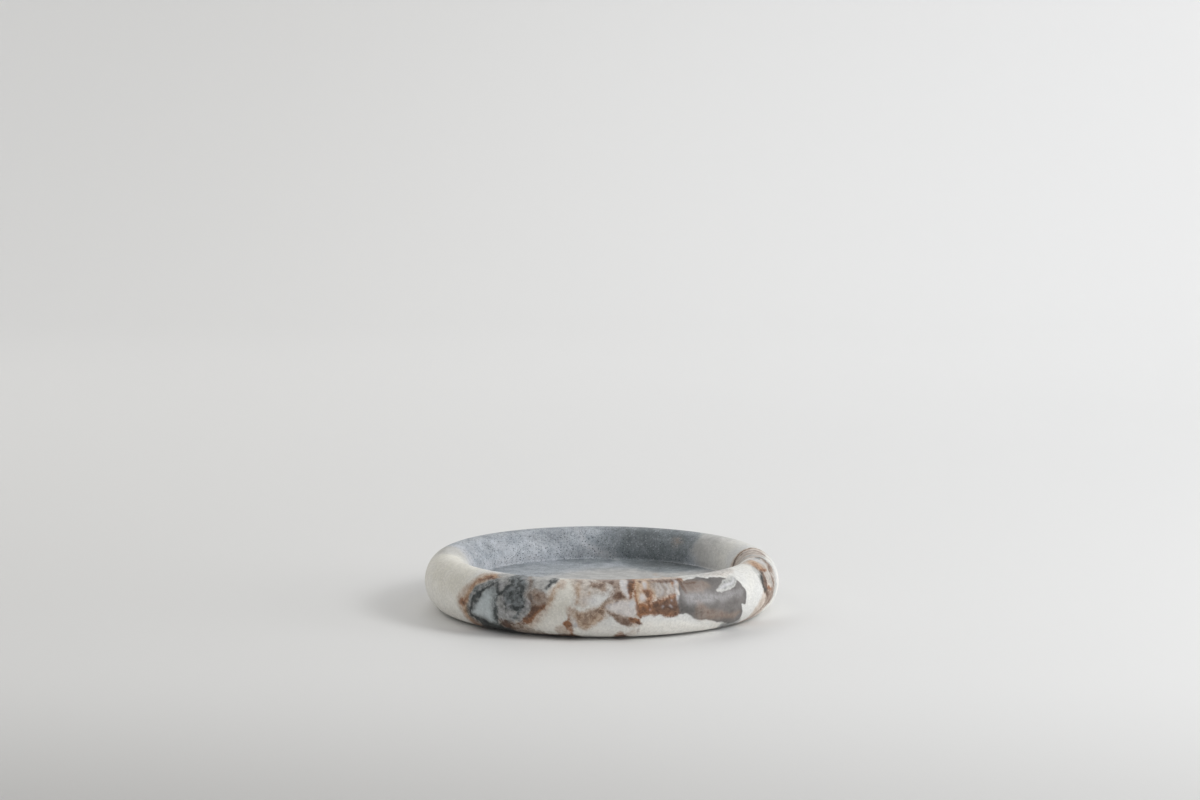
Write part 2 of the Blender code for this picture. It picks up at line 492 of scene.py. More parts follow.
# %% Ink the broken black ring
streak("black", RING, 1.2, 2.2, 2.8, 1.8, 2.4, 1.2, 1.6, 2.0, 2.6, 2.4, 2.2, edge=1.0, strength=0.94)
streak("soot_and_painted_shadow", [(-79.0, -4.0), (-76.2, -0.6), (-73.0, 3.0), (-70.0, 6.4)], 3.4, 4.0, 3.2, 2.0, edge=2.0,
       strength=0.6)
spots("black", (-76.4, 1.0, 5.0, 3.2), (-74.2, 4.4, 4.4, 4.0), (-72.0, 7.2, 3.6, 3.0),
      (-61.2, 8.4, 2.4, 3.4), edge=1.3, strength=0.97)
streak("black", RIGHT_LINE, 1.3, 1.3, 2.0, 3.2, 2.2, edge=1.3, strength=0.75)
streak("black", FOOT_LINE, 1.4, 3.0, 3.8, 3.4, 3.0, edge=1.7, strength=0.94)
covered("black")

# %% Darken the foot below the lens, partly with painted shadow
# Partly dark stone at the foot, partly painted shadow where the foot meets the table.
patch("mottle", [(-75.0, -12.4), (-70.0, -14.2), (-62.0, -15.0), (-56.0, -17.0), (-48.0, -20.5),
                 (-56.0, -25.0), (-74.0, -24.0), (-77.0, -16.0)], edge=1.8, strength=0.9)
# Painted contact shadow over dark stone: the darkest wash, where the foot meets the table.
patch("soot_and_painted_shadow", [(-76, -12.4), (-67, -13.6), (-60, -13.0), (-53, -15.4), (-50, -25), (-75, -25)],
      edge=2.2, strength=1.0)
patch("taupe", [(-83, -9), (-78, -11), (-72, -15), (-74, -24), (-84, -22)], edge=2.6, strength=0.8)
covered("mottle", "soot_and_painted_shadow", "taupe")

# %% Draw the mottled stone beside it
MOTTLED = [
    (-60.4, 5.5), (-58.0, 8.2), (-55.5, 12.0), (-57.0, 16.5), (-53.5, 21.0), (-44.0, 22.5),
    (-38.5, 20.0), (-39.0, 10.0), (-38.4, 2.5), (-40.5, -4.0), (-45.5, -8.6), (-51.0, -8.6),
    (-56.0, -10.5), (-60.8, -11.5), (-61.2, -4.0), (-60.2, 0.5),
]
DARK_MOTTLED = [
    (-57.4, 8.8), (-55.4, 12.4), (-56.8, 16.6), (-53.4, 20.6), (-47.6, 20.4), (-45.0, 14.6),
    (-43.8, 8.0), (-43.4, 2.4), (-45.6, -2.6), (-48.4, -1.6), (-51.6, -1.2), (-54.8, -0.6),
    (-56.0, 4.6),
]
patch("haze", MOTTLED, edge=1.7, strength=0.85)
patch("lens", [(-60.4, 5.0), (-56.4, 4.6), (-53.6, 0.0), (-48.2, -2.0), (-48.0, -6.4), (-53.0, -7.6),
               (-60.0, -7.8)], edge=1.4, strength=0.66)
spots("lens", (-53.2, 3.0, 4.0, 3.6), (-43.6, 0.6, 4.0, 5.4), edge=1.2, strength=0.7)
patch("mottle", DARK_MOTTLED, edge=1.4, strength=0.95)
streak("mottle", [(-50.4, -7.0), (-47.4, -4.2), (-46.2, -1.4)], 2.0, 3.0, 2.0, edge=1.2,
       strength=0.8)
streak("mottle", [(-60.4, 6.0), (-60.6, 0.0), (-61.6, -8.0)], 1.6, 1.8, 2.2, edge=1.1, strength=0.65)
streak("soot_and_painted_shadow", [(-60.2, 3.4), (-55.6, 3.2), (-52.0, 3.6)], 3.0, 3.0, 2.4, edge=1.8, strength=0.46)
spots("soot_and_painted_shadow", (-47.2, -6.4, 4.0, 3.0), (-53.0, -8.0, 4.0, 3.0), edge=1.5, strength=0.45)
streak("soot_and_painted_shadow", [(-56.6, -6.6), (-50.0, -7.0), (-44.6, -6.0)], 2.0, 3.0, 3.6, edge=1.8, strength=0.42)
patch("soot_and_painted_shadow", [(-62, 6), (-60, 16), (-56, 22), (-42, 21), (-37.6, 10), (-38, 1), (-42, -6), (-44, -12),
               (-61, -10)], edge=2.2, strength=0.36)
patch("soot_and_painted_shadow", [(-59.6, 7.6), (-57.0, 12.0), (-55.0, 19.0), (-50.6, 18.0), (-44.6, 12.0),
               (-44.6, 4.0), (-47.0, -0.6), (-52.0, 3.0), (-56.0, 5.0)], edge=1.8, strength=0.46)
spots("crystal_and_painted_sheen", (-47.4, 18.6, 4.0, 3.4), (-52.6, 0.8, 3.0, 2.6), (-43.6, 0.0, 2.4, 3.4), edge=1.2,
      strength=0.5)
covered("haze", "lens", "mottle", "soot_and_painted_shadow")

# %% Ink the black cores of the mottled stone
spots("black", (-48.8, 15.9, 2.4, 1.8), (-52.2, 7.7, 2.4, 2.8), (-54.9, 14.8, 3.6, 3.4),
      (-51.7, 18.4, 2.6, 2.8), (-44.3, 1.3, 3.0, 2.0), (-49.8, 11.4, 1.8, 1.4),
      (-47.6, 9.0, 1.6, 1.8), edge=1.1, strength=0.82)
streak("black", [(-49.0, 13.6), (-47.0, 12.8), (-45.3, 10.6), (-45.0, 7.2)], 1.8, 2.8, 2.4, 1.4,
       edge=1.0, strength=0.9)
streak("black", [(-52.6, 0.4), (-49.4, -0.4), (-46.0, 0.3)], 1.6, 2.4, 1.8, edge=1.0, strength=0.8)
streak("black", [(-56.0, 6.6), (-55.6, 2.0), (-54.6, -1.8)], 1.2, 1.3, 0.8, edge=0.9, strength=0.66)
covered("black")

# %% Scatter crystals and wisps over it
spots("crystal_and_painted_sheen", (-52.8, 0.4, 3.4, 3.0), (-50.8, -3.6, 5.0, 3.0), (-41.8, 3.0, 2.6, 7.4),
      (-57.8, -3.2, 4.4, 4.2), (-44.0, 0.8, 2.6, 4.0), (-43.4, -4.0, 2.6, 2.0), edge=1.3,
      strength=0.6)
for wisp_along, wisp_up in ((-57.6, 5.0), (-59.0, -5.6), (-55.0, -3.4), (-51.8, -6.6), (-42.0, 6.0)):
    streak("crystal_and_painted_sheen", [(wisp_along, wisp_up), (wisp_along + 1.6, wisp_up - 1.2),
                       (wisp_along + 2.2, wisp_up - 3.4)], 0.5, 1.2, 0.5, edge=0.8, strength=0.9)
for fleck_along, fleck_up in ((-41.0, 8.4), (-42.8, 4.6), (-40.2, 0.6), (-43.6, -1.2), (-45.0, -4.4)):
    spots("mottle", (fleck_along, fleck_up, 1.7, 1.3), edge=0.9, strength=0.7)
spots("crystal_and_painted_sheen", (-60.2, 11.2, 4.0, 4.4), edge=1.4, strength=0.55)
patch("blush", [(-47, 22), (-43.6, 15), (-41.0, 8), (-42.4, 2), (-39.5, -2), (-34, 2), (-33, 12),
                (-37, 22)], edge=1.8, strength=0.6)
covered("crystal_and_painted_sheen", "blush")

# %% Draw the brown streaks right of it
streak("taupe", [(-45.6, 22.0), (-43.0, 16.4), (-40.6, 10.6), (-39.4, 5.0)], 3.0, 3.0, 2.6, 2.0,
       edge=1.6, strength=0.72)
patch("haze", [(-41, 22), (-30, 22), (-29, 16), (-30.5, 11), (-36, 9), (-40, 11)], edge=2.0,
      strength=0.8)
patch("taupe", [(-42.6, 9), (-38, 11.6), (-33, 10.4), (-30.0, 7.0), (-30.8, 2.4), (-35, -1.4),
                (-40.5, 1)], edge=2.2, strength=0.86)
streak("crystal_and_painted_sheen", [(-39.4, 7.6), (-37.0, 4.4), (-34.6, 3.6)], 0.6, 1.6, 0.8, edge=1.1, strength=0.28)
spots("umber", (-36.4, 8.0, 4.4, 2.4), (-39.2, 4.6, 2.0, 2.6), (-35.2, 1.6, 3.6, 2.4), edge=1.2,
      strength=0.66)
spots("tan", (-35.0, 7.4, 6.4, 4.0), (-28.0, 7.2, 2.6, 2.4), (-26.2, 10.8, 2.4, 2.8), edge=1.4,
      strength=0.75)
streak("tan", [(-24.8, 15.0), (-26.0, 9.4), (-28.8, 5.2), (-31.4, 2.4)], 1.6, 2.8, 3.8, 3.8,
       edge=1.8, strength=0.6)
streak("blush", [(-26, 12), (-31, 3), (-37, -5), (-45, -11)], 5, 7, 10, 8, edge=2.8, strength=0.6)
streak("tan", [(-33.0, -1.0), (-37.0, -5.0), (-41.0, -8.6)], 2.4, 3.4, 2.6, edge=1.8, strength=0.42)
streak("rust", [(-32.2, 2.2), (-35.6, -0.4), (-39.0, -3.6), (-42.6, -7.2)], 2.2, 4.4, 5.0, 3.0,
       edge=1.5, strength=0.92)
streak("umber", [(-33.0, 1.8), (-36.8, -0.2), (-39.8, -3.2), (-42.2, -6.0)], 2.0, 4.2, 3.0, 1.4,
       edge=1.5, strength=0.86)
streak("rust", [(-42.0, -6.0), (-44.4, -8.6), (-48.0, -9.6)], 2.8, 2.4, 1.0, edge=1.5, strength=0.6)
spots("umber", (-55.8, -10.8, 7.0, 6.2), (-55.2, -11.4, 4.4, 3.6), edge=1.3, strength=1.0)
patch("umber", [(-61, -9.0), (-54, -7.8), (-50, -9.0), (-50, -14), (-54, -17), (-61, -17)],
      edge=2.0, strength=0.5)
patch("tan", [(-61, -9), (-54, -7.4), (-46, -9), (-43, -12), (-50, -14), (-61, -14)], edge=1.8,
      strength=0.55)
patch("taupe", [(-61, -8.6), (-52, -8.8), (-44, -11.0), (-33, -14.6), (-33, -26), (-60, -26)],
      edge=2.4, strength=0.7)
streak("black", [(-28.2, 21.5), (-28.7, 17.8), (-29.6, 15.4), (-31.4, 13.0)], 3.8, 4.4, 3.2, 2.0,
       edge=1.8, strength=0.8)
covered("taupe", "umber")

# %% [markdown]
# ### Middle: rust and brown veins
#
# Between two clean white bands the block is shot through with thin veins. Most of them lean
# the same way, as cracks in one layer of rock do, and they stain the white beside them.

# %% Draw the stains of the middle
patch("cream", [(-46, -16), (-38, -2), (-27, 8), (-26, 22), (-14, 24), (-16, 6), (-22, -8),
                (-30, -18)], edge=3, strength=0.8)
patch("blush", [(-18.0, 24), (-17, 15), (-14.6, 4), (-8, 3), (-4, 8), (2, 11), (8, 16), (10, 24)],
      edge=3.0, strength=0.62)
patch("blush", [(-19, 3), (-14, 1.0), (-6, 2.2), (2, 5.0), (6, 14), (15, 16), (20, 0), (22, -8),
                (14, -9), (4, -1.6), (-3, -7), (-9, -12), (-14, -8)], edge=2.0, strength=0.62)
patch("blush", [(14, 24), (15, 10), (19, 0), (24, 3), (30, 8), (45, 9), (47, 22)], edge=2.0,
      strength=0.8)
patch("haze", [(-20, 22), (-14, 15), (-10, 10), (-2, 8), (5, 12), (8, 22)], edge=3.0, strength=0.36)
patch("tan", [(18.6, 24), (18.4, 8), (19.4, -1), (24, 2), (28.4, 4), (30.6, 10), (30.4, 24)],
      edge=1.6, strength=0.6)
spots("blush", (-20.6, -12.2, 10.0, 9.0), (-16.2, 0.0, 5.0, 7.6), (-13.6, 14.0, 5.0, 18.0),
      (-23.4, 17.0, 7.0, 9.0), (-15.6, -6.0, 5.0, 7.0), edge=2.0, strength=0.74)
spots("blush", (17.0, -13.6, 9.0, 6.0), edge=2.4, strength=0.4)
covered("blush", "tan")

# %% Draw the middle veins
streak("tan", [(-12.4, 22.0), (-13.3, 17.4), (-12.8, 12.6), (-13.4, 5.0)], 3.0, 3.2, 2.2, 1.2,
       edge=1.6, strength=0.62)
patch("taupe", [(-18, 24), (-17, 16), (-12.4, 15.6), (-9.6, 18), (-9, 24)], edge=2.4, strength=0.34)
patch("taupe", [(-1, 11.6), (3, 16.6), (6, 14), (5.6, 8), (1, 8.6)], edge=2.2, strength=0.32)
patch("taupe", [(-6.4, 18.6), (-2, 17.8), (2.6, 17.4), (3.2, 13.4), (-0.4, 12.2), (-2.8, 14.4),
                (-6.0, 14.6)], edge=1.8, strength=0.85)
spots("tan", (-3.8, 16.0, 5.4, 3.8), (0.8, 13.8, 4.4, 4.4), (0.4, 17.4, 4.4, 3.4),
      (-6.6, 10.6, 2.0, 2.4), edge=1.6, strength=0.8)
spots("umber", (-4.2, 16.3, 3.2, 2.0), (1.0, 16.6, 4.4, 3.6), edge=1.4, strength=0.58)
covered("tan", "taupe", "umber")

# %% Draw the brown web that joins them
patch("taupe", [(-3, 24), (-1, 18.6), (4.0, 17.4), (6.6, 14.4), (6.0, 9.8), (4.0, 5.8), (8.6, 6.2),
                (14.4, 6.6), (12.6, 9.8), (10.6, 13.0), (10.4, 17.6), (12.4, 24)], edge=1.5,
      strength=0.85)
spots("umber", (7.8, 12.8, 2.8, 2.8), (5.2, 18.6, 6.0, 3.6), (0.2, 0.8, 4.4, 4.6), edge=2.0,
      strength=0.6)
spots("umber", (8.6, 8.8, 7.4, 6.2), edge=2.0, strength=0.76)
patch("taupe", [(-0.4, 3.6), (2.4, 7.0), (4.4, 10.6), (8.0, 8.4), (9.0, 5.4), (5.6, 3.8), (2.4, 1.8)],
      edge=2.0, strength=0.6)
patch("taupe", [(-14.6, -0.4), (-10.6, -0.6), (-5, 1.2), (0, 3.2), (4.8, 6.4), (5.6, 4.4),
                (3.0, 1.8), (1.2, -1.2), (-2, -3.2), (-5, -6.0), (-8.8, -9.2), (-10.8, -8.4),
                (-12.2, -4.8)], edge=2.2, strength=0.46)
patch("tan", [(-14.8, -0.4), (-5, 1.2), (4.8, 6.4), (3.2, 1.4), (-1.4, -4.4), (-8.4, -10.4), (-13.2, -7)],
      edge=2.4, strength=0.78)
spots("rust", (-10.4, -2.8, 5.6, 3.4), (-4.6, -2.8, 4.4, 2.6), (0.4, 1.8, 4.0, 1.8),
      (-8.6, -6.6, 3.0, 2.6), edge=1.8, strength=0.36)
streak("umber", [(-11.6, -1.6), (-6.8, -1.2), (-2.6, 0.4), (2.6, 0.8)], 0.8, 1.2, 2.6, 2.0,
       edge=1.4, strength=0.55)
covered("taupe", "umber", "tan")

# %% Draw the brown wedge with its rusty tip
patch("taupe", [(2.6, 0.8), (7.0, -0.4), (11.4, -2.4), (16.2, -3.4), (16.4, -7.0), (12.6, -8.2),
                (8.8, -7.0), (6.6, -3.6)], edge=1.3, strength=0.97)
streak("umber", [(4.6, -0.4), (8.8, -3.2), (12.2, -5.8), (15.8, -6.0)], 0.8, 2.0, 4.4, 2.6,
       edge=1.4, strength=0.66)
patch("rust", [(14.8, -3.6), (18.0, -3.2), (20.9, -4.0), (21.2, -7.6), (18.4, -7.2), (15.2, -6.4)],
      edge=1.0, strength=0.9)
streak("umber", [(16.0, -4.6), (18.6, -5.8), (20.9, -6.9)], 1.2, 2.2, 2.2, edge=1.2, strength=0.8)
covered("taupe", "rust")

# %% Draw the pale crystals between the veins
patch("crystal_and_painted_sheen", [(10.6, 21), (15.2, 20), (15.0, 12), (14.4, 8.0), (11.8, 11.0), (10.8, 15)],
      edge=1.3, strength=0.6)
patch("crystal_and_painted_sheen", [(2.2, 2.0), (5.4, 5.2), (12, 5.8), (18, 6.6), (19.4, 0.6), (18.4, -2.6),
                  (13.0, -2.4), (8.0, -0.2)], edge=1.4, strength=0.5)
spots("crystal_and_painted_sheen", (25.0, 16.0, 3.4, 6.0), (-14.2, -6.4, 3.0, 6.4), (22.6, 7.4, 3.0, 4.0),
      (16.6, 4.2, 4.0, 6.0), edge=1.4, strength=0.7)
spots("crystal_and_painted_sheen", (-6.0, 6.6, 10.0, 5.0), edge=2.0, strength=0.42)
covered("crystal_and_painted_sheen")

# %% Draw the rusty veins beside the block
streak("rust", [(17.8, 23.0), (17.2, 18.0), (16.5, 13.4), (15.4, 8.8)], 4.0, 4.2, 4.0, 1.8,
       edge=1.3, strength=0.92)
streak("umber", [(16.6, 21.0), (16.4, 15.4), (15.8, 10.0)], 3.8, 3.2, 1.8, edge=1.4, strength=0.88)
streak("tan", [(20.6, 22.0), (20.0, 12.0), (19.6, 5.3), (20.8, 0.0)], 2.8, 2.6, 2.8, edge=1.3,
       strength=0.9)
streak("rust", [(18.4, 11.0), (19.3, 4.6), (20.2, 0.4), (21.2, -2.8)], 1.2, 1.8, 2.4, 1.4, edge=1.0,
       strength=0.9)
streak("umber", [(18.6, 9.0), (19.4, 4.0), (20.4, 0.0), (21.2, -2.6)], 0.5, 0.8, 0.9, 0.9, edge=0.9,
       strength=0.62)
spots("umber", (22.6, 18.8, 3.4, 2.6), edge=1.2, strength=0.7)
patch("rust", [(22.4, 12.6), (27.4, 12.0), (28.4, 7.4), (27.0, 2.0), (22.6, 2.6), (24.2, 8.0)],
      edge=1.6, strength=0.75)
spots("umber", (25.2, 9.6, 3.8, 3.8), (24.6, 5.0, 2.2, 2.4), edge=1.4, strength=0.66)
streak("tan", [(29.4, 20), (29.8, 14), (29.0, 8)], 2.2, 2.6, 2.0, edge=1.2, strength=0.9)
covered("rust", "umber", "tan")

# %% Draw the rust along the foot
streak("rust", [(-17.6, -3.4), (-17.9, -8.4), (-17.2, -13.0), (-18.2, -22)], 1.8, 3.8, 2.6, 5.0,
       edge=1.4, strength=0.78)
spots("rust", (-18.2, -6.8, 4.6, 5.0), edge=1.1, strength=1.0)
spots("umber", (-17.6, -8.0, 2.4, 2.8), edge=1.2, strength=0.55)
streak("rust", [(-16.4, 2.4), (-16.4, -1.4), (-17.6, -5.2)], 1.6, 1.6, 2.6, edge=1.4, strength=0.44)
patch("umber", [(-34, -17.6), (-25, -16.4), (-18, -15.0), (-12, -17.6), (-12, -26), (-34, -26)],
      edge=2.0, strength=0.85)
patch("rust", [(8.4, -13.8), (10.4, -11.6), (12.0, -13.6), (13.6, -17.0), (15, -26), (6.4, -26)],
      edge=1.6, strength=0.72)
spots("umber", (12.0, -18.0, 9.0, 6.0), edge=1.8, strength=0.75)
streak("haze", [(20.8, -7.0), (20.4, -16.0)], 0.9, 1.3, edge=0.9, strength=0.5)
spots("blush", (17.6, -12.4, 2.2, 3.0), (20.6, -12.8, 2.0, 3.4), edge=1.2, strength=0.6)
covered("rust", "umber")

# %% [markdown]
# ### Right of the middle: the rust block and the smooth grey patch
#
# A vein of iron has stained a whole block rust-brown. Next to it lies the darkest piece, a
# smooth patch of grey-brown with hardly any grain, and crystals along its upper edge.

# %% Draw the fibres above the rust block
patch("haze", [(29, 18), (42, 18), (43.6, 9), (36, 8), (30, 8)], edge=1.6, strength=0.62)
patch("taupe", [(29, 18.5), (43, 18), (43.6, 8), (36, 7), (30, 7)], edge=1.8, strength=0.4)
for fibre_along, fibre_strength in ((32.4, 0.5), (35.0, 0.6), (38.6, 0.46), (41.0, 0.8)):
    streak("tan", [(fibre_along, 18.5), (fibre_along + 0.5, 12.0), (fibre_along - 0.3, 7.0)],
           1.4, 1.6, 2.4, edge=1.6, strength=fibre_strength)
for fibre_along, fibre_strength in ((31.2, 0.4), (33.6, 0.46), (37.0, 0.52), (39.6, 0.34)):
    streak("crystal_and_painted_sheen", [(fibre_along, 17.0), (fibre_along + 0.4, 12.0), (fibre_along - 0.2, 9.0)],
           0.9, 1.7, 1.0, edge=1.4, strength=fibre_strength)
streak("tan", [(22.6, 5.6), (29.0, 7.2), (35.0, 8.6), (40.8, 9.8)], 3.0, 3.6, 3.6, 3.0, edge=1.8,
       strength=0.66)
covered("haze", "tan", "crystal_and_painted_sheen")

# %% Draw the rust block
RUST_BLOCK = [
    (19.6, 3.4), (22.0, 4.6), (26.0, 4.6), (29.4, 6.0), (33.3, 7.2), (37.2, 8.2), (41.0, 9.0),
    (42.0, 5.0), (41.6, 1.0), (42.8, -2.4), (40.0, -3.6), (35.8, -3.2), (32.0, -2.2),
    (26.7, -2.3), (22.5, -2.6), (20.2, -2.4),
]
patch("rust", RUST_BLOCK, edge=1.8, strength=0.92)
patch("umber", [(27.6, 4.8), (33.0, 6.2), (37.6, 7.2), (41.8, 7.2), (42.0, -0.6), (36, -1.6),
                (31, -0.8), (27.0, 0.6)], edge=2.8, strength=0.9)
spots("umber", (31.0, 2.4, 6.4, 6.0), (22.4, 1.0, 2.4, 2.4), edge=1.8, strength=0.9)
streak("umber", [(23.6, -0.6), (29.0, -0.2), (35.0, -0.8), (42.4, -1.6)], 1.6, 3.4, 3.2, 2.8, edge=1.5,
       strength=0.74)
spots("rust", (24.4, 2.4, 5.4, 3.4), edge=1.3, strength=0.95)
streak("umber", [(21.0, -2.4), (26.0, -2.3), (32.0, -2.2), (38.0, -3.6), (43.6, -3.2)],
       0.9, 0.6, 0.8, 1.0, 0.8, edge=0.8, strength=0.5)
spots("haze", (23.4, 1.4, 2.0, 1.8), edge=1.0, strength=0.6)
spots("crystal_and_painted_sheen", (33.3, 2.5, 1.4, 1.2), (37.9, 2.9, 1.8, 1.4), (26.2, 1.2, 1.2, 1.4),
      (38.6, 5.6, 1.2, 1.4), edge=0.9, strength=0.5)
streak("taupe", [(28.6, 19.2), (34.6, 18.2), (40.0, 17.6), (47.6, 17.4)], 2.4, 3.2, 3.6, 3.4,
       edge=1.2, strength=1.0)
streak("umber", [(30.0, 19.0), (38.0, 17.2), (45.6, 17.2)], 0.9, 2.4, 2.2, edge=1.3, strength=0.72)
spots("rust", (48.0, 18.4, 4.6, 3.0), (41.4, 15.0, 3.0, 4.4), edge=1.3, strength=0.7)
covered("rust", "umber")

# %% Draw the smooth grey patch
GREY_PATCH = [
    (46.0, 17.0), (44.4, 10.3), (42.8, 4.3), (41.0, 0.6), (43.2, -2.4), (50.0, -3.6),
    (57.9, -7.1), (68.3, -9.6), (76.0, -11.4), (82.0, -14.5), (90.4, -13.2), (88.8, -6.6),
    (87.4, -1.8), (91.0, -2.4), (92.4, 2.4), (91.4, 6.4), (88.6, 11.9), (85.4, 10.5),
    (82.3, 8.6), (77.8, 6.9), (73.0, 7.2), (68.6, 8.6), (73.0, 10.7), (76.7, 12.8),
    (80.2, 14.9), (73.3, 15.6), (67.9, 16.2), (63.8, 17.8), (58.3, 17.6), (50.0, 17.4),
]
patch("slate", GREY_PATCH, edge=1.1)
covered("slate")

# %% Darken its foot and left end
patch("haze", [(76, -12), (90, -11), (93, -20), (78, -22)], edge=3.0, strength=0.9)
patch("soot_and_painted_shadow", [(76, -13.6), (83, -13.4), (91, -15.4), (90, -23), (77, -23)], edge=3.0, strength=0.36)
patch("mottle", [(41.0, 6.5), (44.0, 7.0), (46.4, 2.4), (45.4, -2.0), (41.6, -1.0)], edge=1.3,
      strength=0.8)
spots("crystal_and_painted_sheen", (43.8, 15.6, 2.4, 4.6), (43.0, 10.6, 2.2, 5.0), (42.4, 6.2, 1.8, 3.6), edge=1.2,
      strength=0.7)
spots("crystal_and_painted_sheen", (43.0, 12.0, 1.4, 14.0), edge=1.0, strength=0.5)
covered("soot_and_painted_shadow", "mottle")

# %% Draw the painted highlight and brown grain in it
# Painted highlight: a pale band where the smooth grey patch reflects the window, laid with the crystal
# colour.
patch("crystal_and_painted_sheen", [(46, 8), (55, 8.4), (68, 7.4), (80, 6), (89, 7), (89, 3), (76, 2.0), (62, 1.6),
                  (48, 1.6)], edge=2.6, strength=0.34)
patch("taupe", [(46.6, 17.4), (55, 17.0), (63, 15), (67, 11), (62, 8.6), (53, 8), (47.6, 9)],
      edge=2.4, strength=0.54)
patch("soot_and_painted_shadow", [(42, 4), (47, 5), (52, 1), (58, -1), (58, -6), (50, -4), (43, -2.6)], edge=2.6,
      strength=0.4)
streak("umber", [(46.0, 16.4), (47.4, 13.4), (48.0, 9.4)], 3.0, 2.6, 1.2, edge=1.4, strength=0.66)
streak("umber", [(48.6, 15.8), (52.6, 14.4), (57.0, 14.6)], 1.0, 1.6, 1.2, edge=1.1, strength=0.6)
streak("soot_and_painted_shadow", [(57, 16.6), (62, 17.0), (67, 15.4), (72, 14.2), (79, 14.9)], 2.4, 3.6, 3.0, 2.6, 1.2,
       edge=1.6, strength=0.36)
patch("taupe", [(53, 4.0), (58, 1.4), (66, -2.0), (75, -4.6), (86, -5.6), (84, -10.6), (72, -8.8),
                (62, -8.4), (54, -5.4)], edge=2.4, strength=0.62)
for drop, fibre_strength in ((0.0, 0.62), (2.2, 0.5), (4.2, 0.45)):
    streak("tan", [(53.0 + drop, 3.4 - drop * 0.3), (54.6 + drop, -0.8), (58.0 + drop, -3.8),
                   (63.5 + drop, -5.4), (69.0 + drop, -6.4)], 0.6, 1.0, 0.9, 0.4, edge=0.8,
           strength=fibre_strength)
    streak("umber", [(54.2 + drop, 2.8 - drop * 0.3), (56.0 + drop, -0.8), (59.2 + drop, -3.0),
                     (64.5 + drop, -4.6)], 0.4, 0.8, 0.6, edge=0.8, strength=fibre_strength * 0.7)
covered("taupe", "umber", "tan")

# %% Draw the crystals along its upper edge
patch("haze", [(67.6, 9.4), (73, 7.6), (78, 7.0), (83, 8.8), (88, 12.4), (84.6, 15.2), (79.4, 14.6),
               (75.6, 12.4), (71, 10.6)], edge=1.8, strength=0.8)
for shift, shine in ((0.0, 0.74), (1.9, 0.82), (3.4, 0.6)):
    streak("crystal_and_painted_sheen", [(70.0 + shift, 9.2), (74.6 + shift, 9.2 + shift * 0.3),
                       (79.0 + shift, 10.2 + shift * 0.5), (84.0 + shift, 12.6 + shift * 0.3)],
           0.6, 1.3, 1.2, 0.5, edge=0.9, strength=shine)
for fleck_along, fleck_up in ((72.6, 9.4), (75.2, 8.6), (77.4, 12.0), (79.6, 9.8), (82.6, 12.6)):
    spots("mottle", (fleck_along, fleck_up, 1.5, 1.0), edge=0.9, strength=0.74)
patch("haze", [(45, 17.6), (52, 17.2), (62, 17.2), (70, 18.0), (68, 22), (46, 22)], edge=2.0,
      strength=0.5)
patch("blush", [(64, 20), (70, 17.6), (80, 16.6), (90, 17.2), (94, 22), (80, 24)], edge=2.4,
      strength=0.5)
covered("haze", "crystal_and_painted_sheen", "blush")

# %% [markdown]
# ### Far right: the vein that crosses the rim
#
# One vein comes up the outside, crosses the crown and runs down the inner wall, where it is
# the border between the white stone and the blue-grey stone of the recess.

# %% Draw the vein that crosses the rim
patch("blush", [(97, -22), (102, -8), (109, 0), (113, 12), (112, 21), (121, 27), (134, 24),
                (138, 12), (134, 2), (126, -6), (118, -10), (112, -22)], edge=2.6, strength=0.7)
patch("haze", [(118, 10), (130, 23), (139, 22), (141, 14), (139, 4), (134, -4), (126, -6), (120, 2)],
      edge=2.6, strength=0.52)
spots("haze", (112.0, 14.0, 6.0, 13.0), (140.4, 13.0, 7.0, 13.0), edge=2.4, strength=0.56)
patch("tan", [(113.4, 17.0), (114.8, 20.0), (119.4, 22.6), (125.5, 24.6), (129.4, 23.4), (126.0, 19.0),
              (127.0, 14.5), (124.5, 11.8), (117.5, 12.8)], edge=1.5, strength=0.9)
patch("rust", [(114.6, 16.4), (117.0, 20.4), (123.0, 21.6), (123.0, 17.0), (124.6, 13.0),
               (116.0, 12.6)], edge=1.8, strength=0.5)
spots("umber", (115.8, 16.0, 3.4, 6.0), edge=1.6, strength=0.5)
streak("rust", [(117.4, 12.6), (121.6, 12.2), (126.0, 13.0)], 2.0, 3.4, 1.4, edge=1.3, strength=0.85)
streak("umber", [(118.0, 12.4), (121.6, 12.0), (124.4, 12.8)], 1.2, 2.2, 0.8, edge=1.2, strength=0.6)
covered("tan", "rust", "umber")

# %% Ink the dark core of that vein
streak("umber", [(118.0, 11.0), (115.8, 9.0), (114.6, 5.8), (114.4, 2.0), (117.0, -1.6)],
       2.8, 5.8, 6.8, 5.4, 3.0, edge=1.5, strength=0.86)
streak("soot_and_painted_shadow", [(115.6, 11.6), (112.8, 8.6), (112.4, 5.2), (113.6, 1.6)], 4.4, 5.2, 4.8, 3.4,
       edge=2.2, strength=0.58)
streak("black", [(115.4, 11.2), (112.9, 9.0), (112.6, 6.2)], 1.2, 2.0, 1.0, edge=1.0, strength=0.75)
streak("black", [(112.6, 3.8), (114.6, 1.8)], 1.6, 1.2, edge=1.0, strength=0.75)
streak("rust", [(116.4, 2.6), (119.6, 1.6), (123.2, 0.2)], 1.6, 2.2, 1.2, edge=1.1, strength=0.9)
patch("taupe", [(114, 1.0), (119, 0.6), (127.5, 2.0), (128, -4), (121, -7.5), (115, -6.4)],
      edge=1.8, strength=0.85)
spots("taupe", (128.4, 4.4, 4.8, 8.0), (133.4, 11.0, 10.0, 5.4), edge=1.6, strength=0.94)
spots("umber", (128.6, 5.0, 3.0, 4.6), (133.0, 11.4, 7.4, 3.0), edge=1.4, strength=0.62)
spots("haze", (133.0, 2.0, 11.0, 10.0), edge=3.0, strength=0.6)
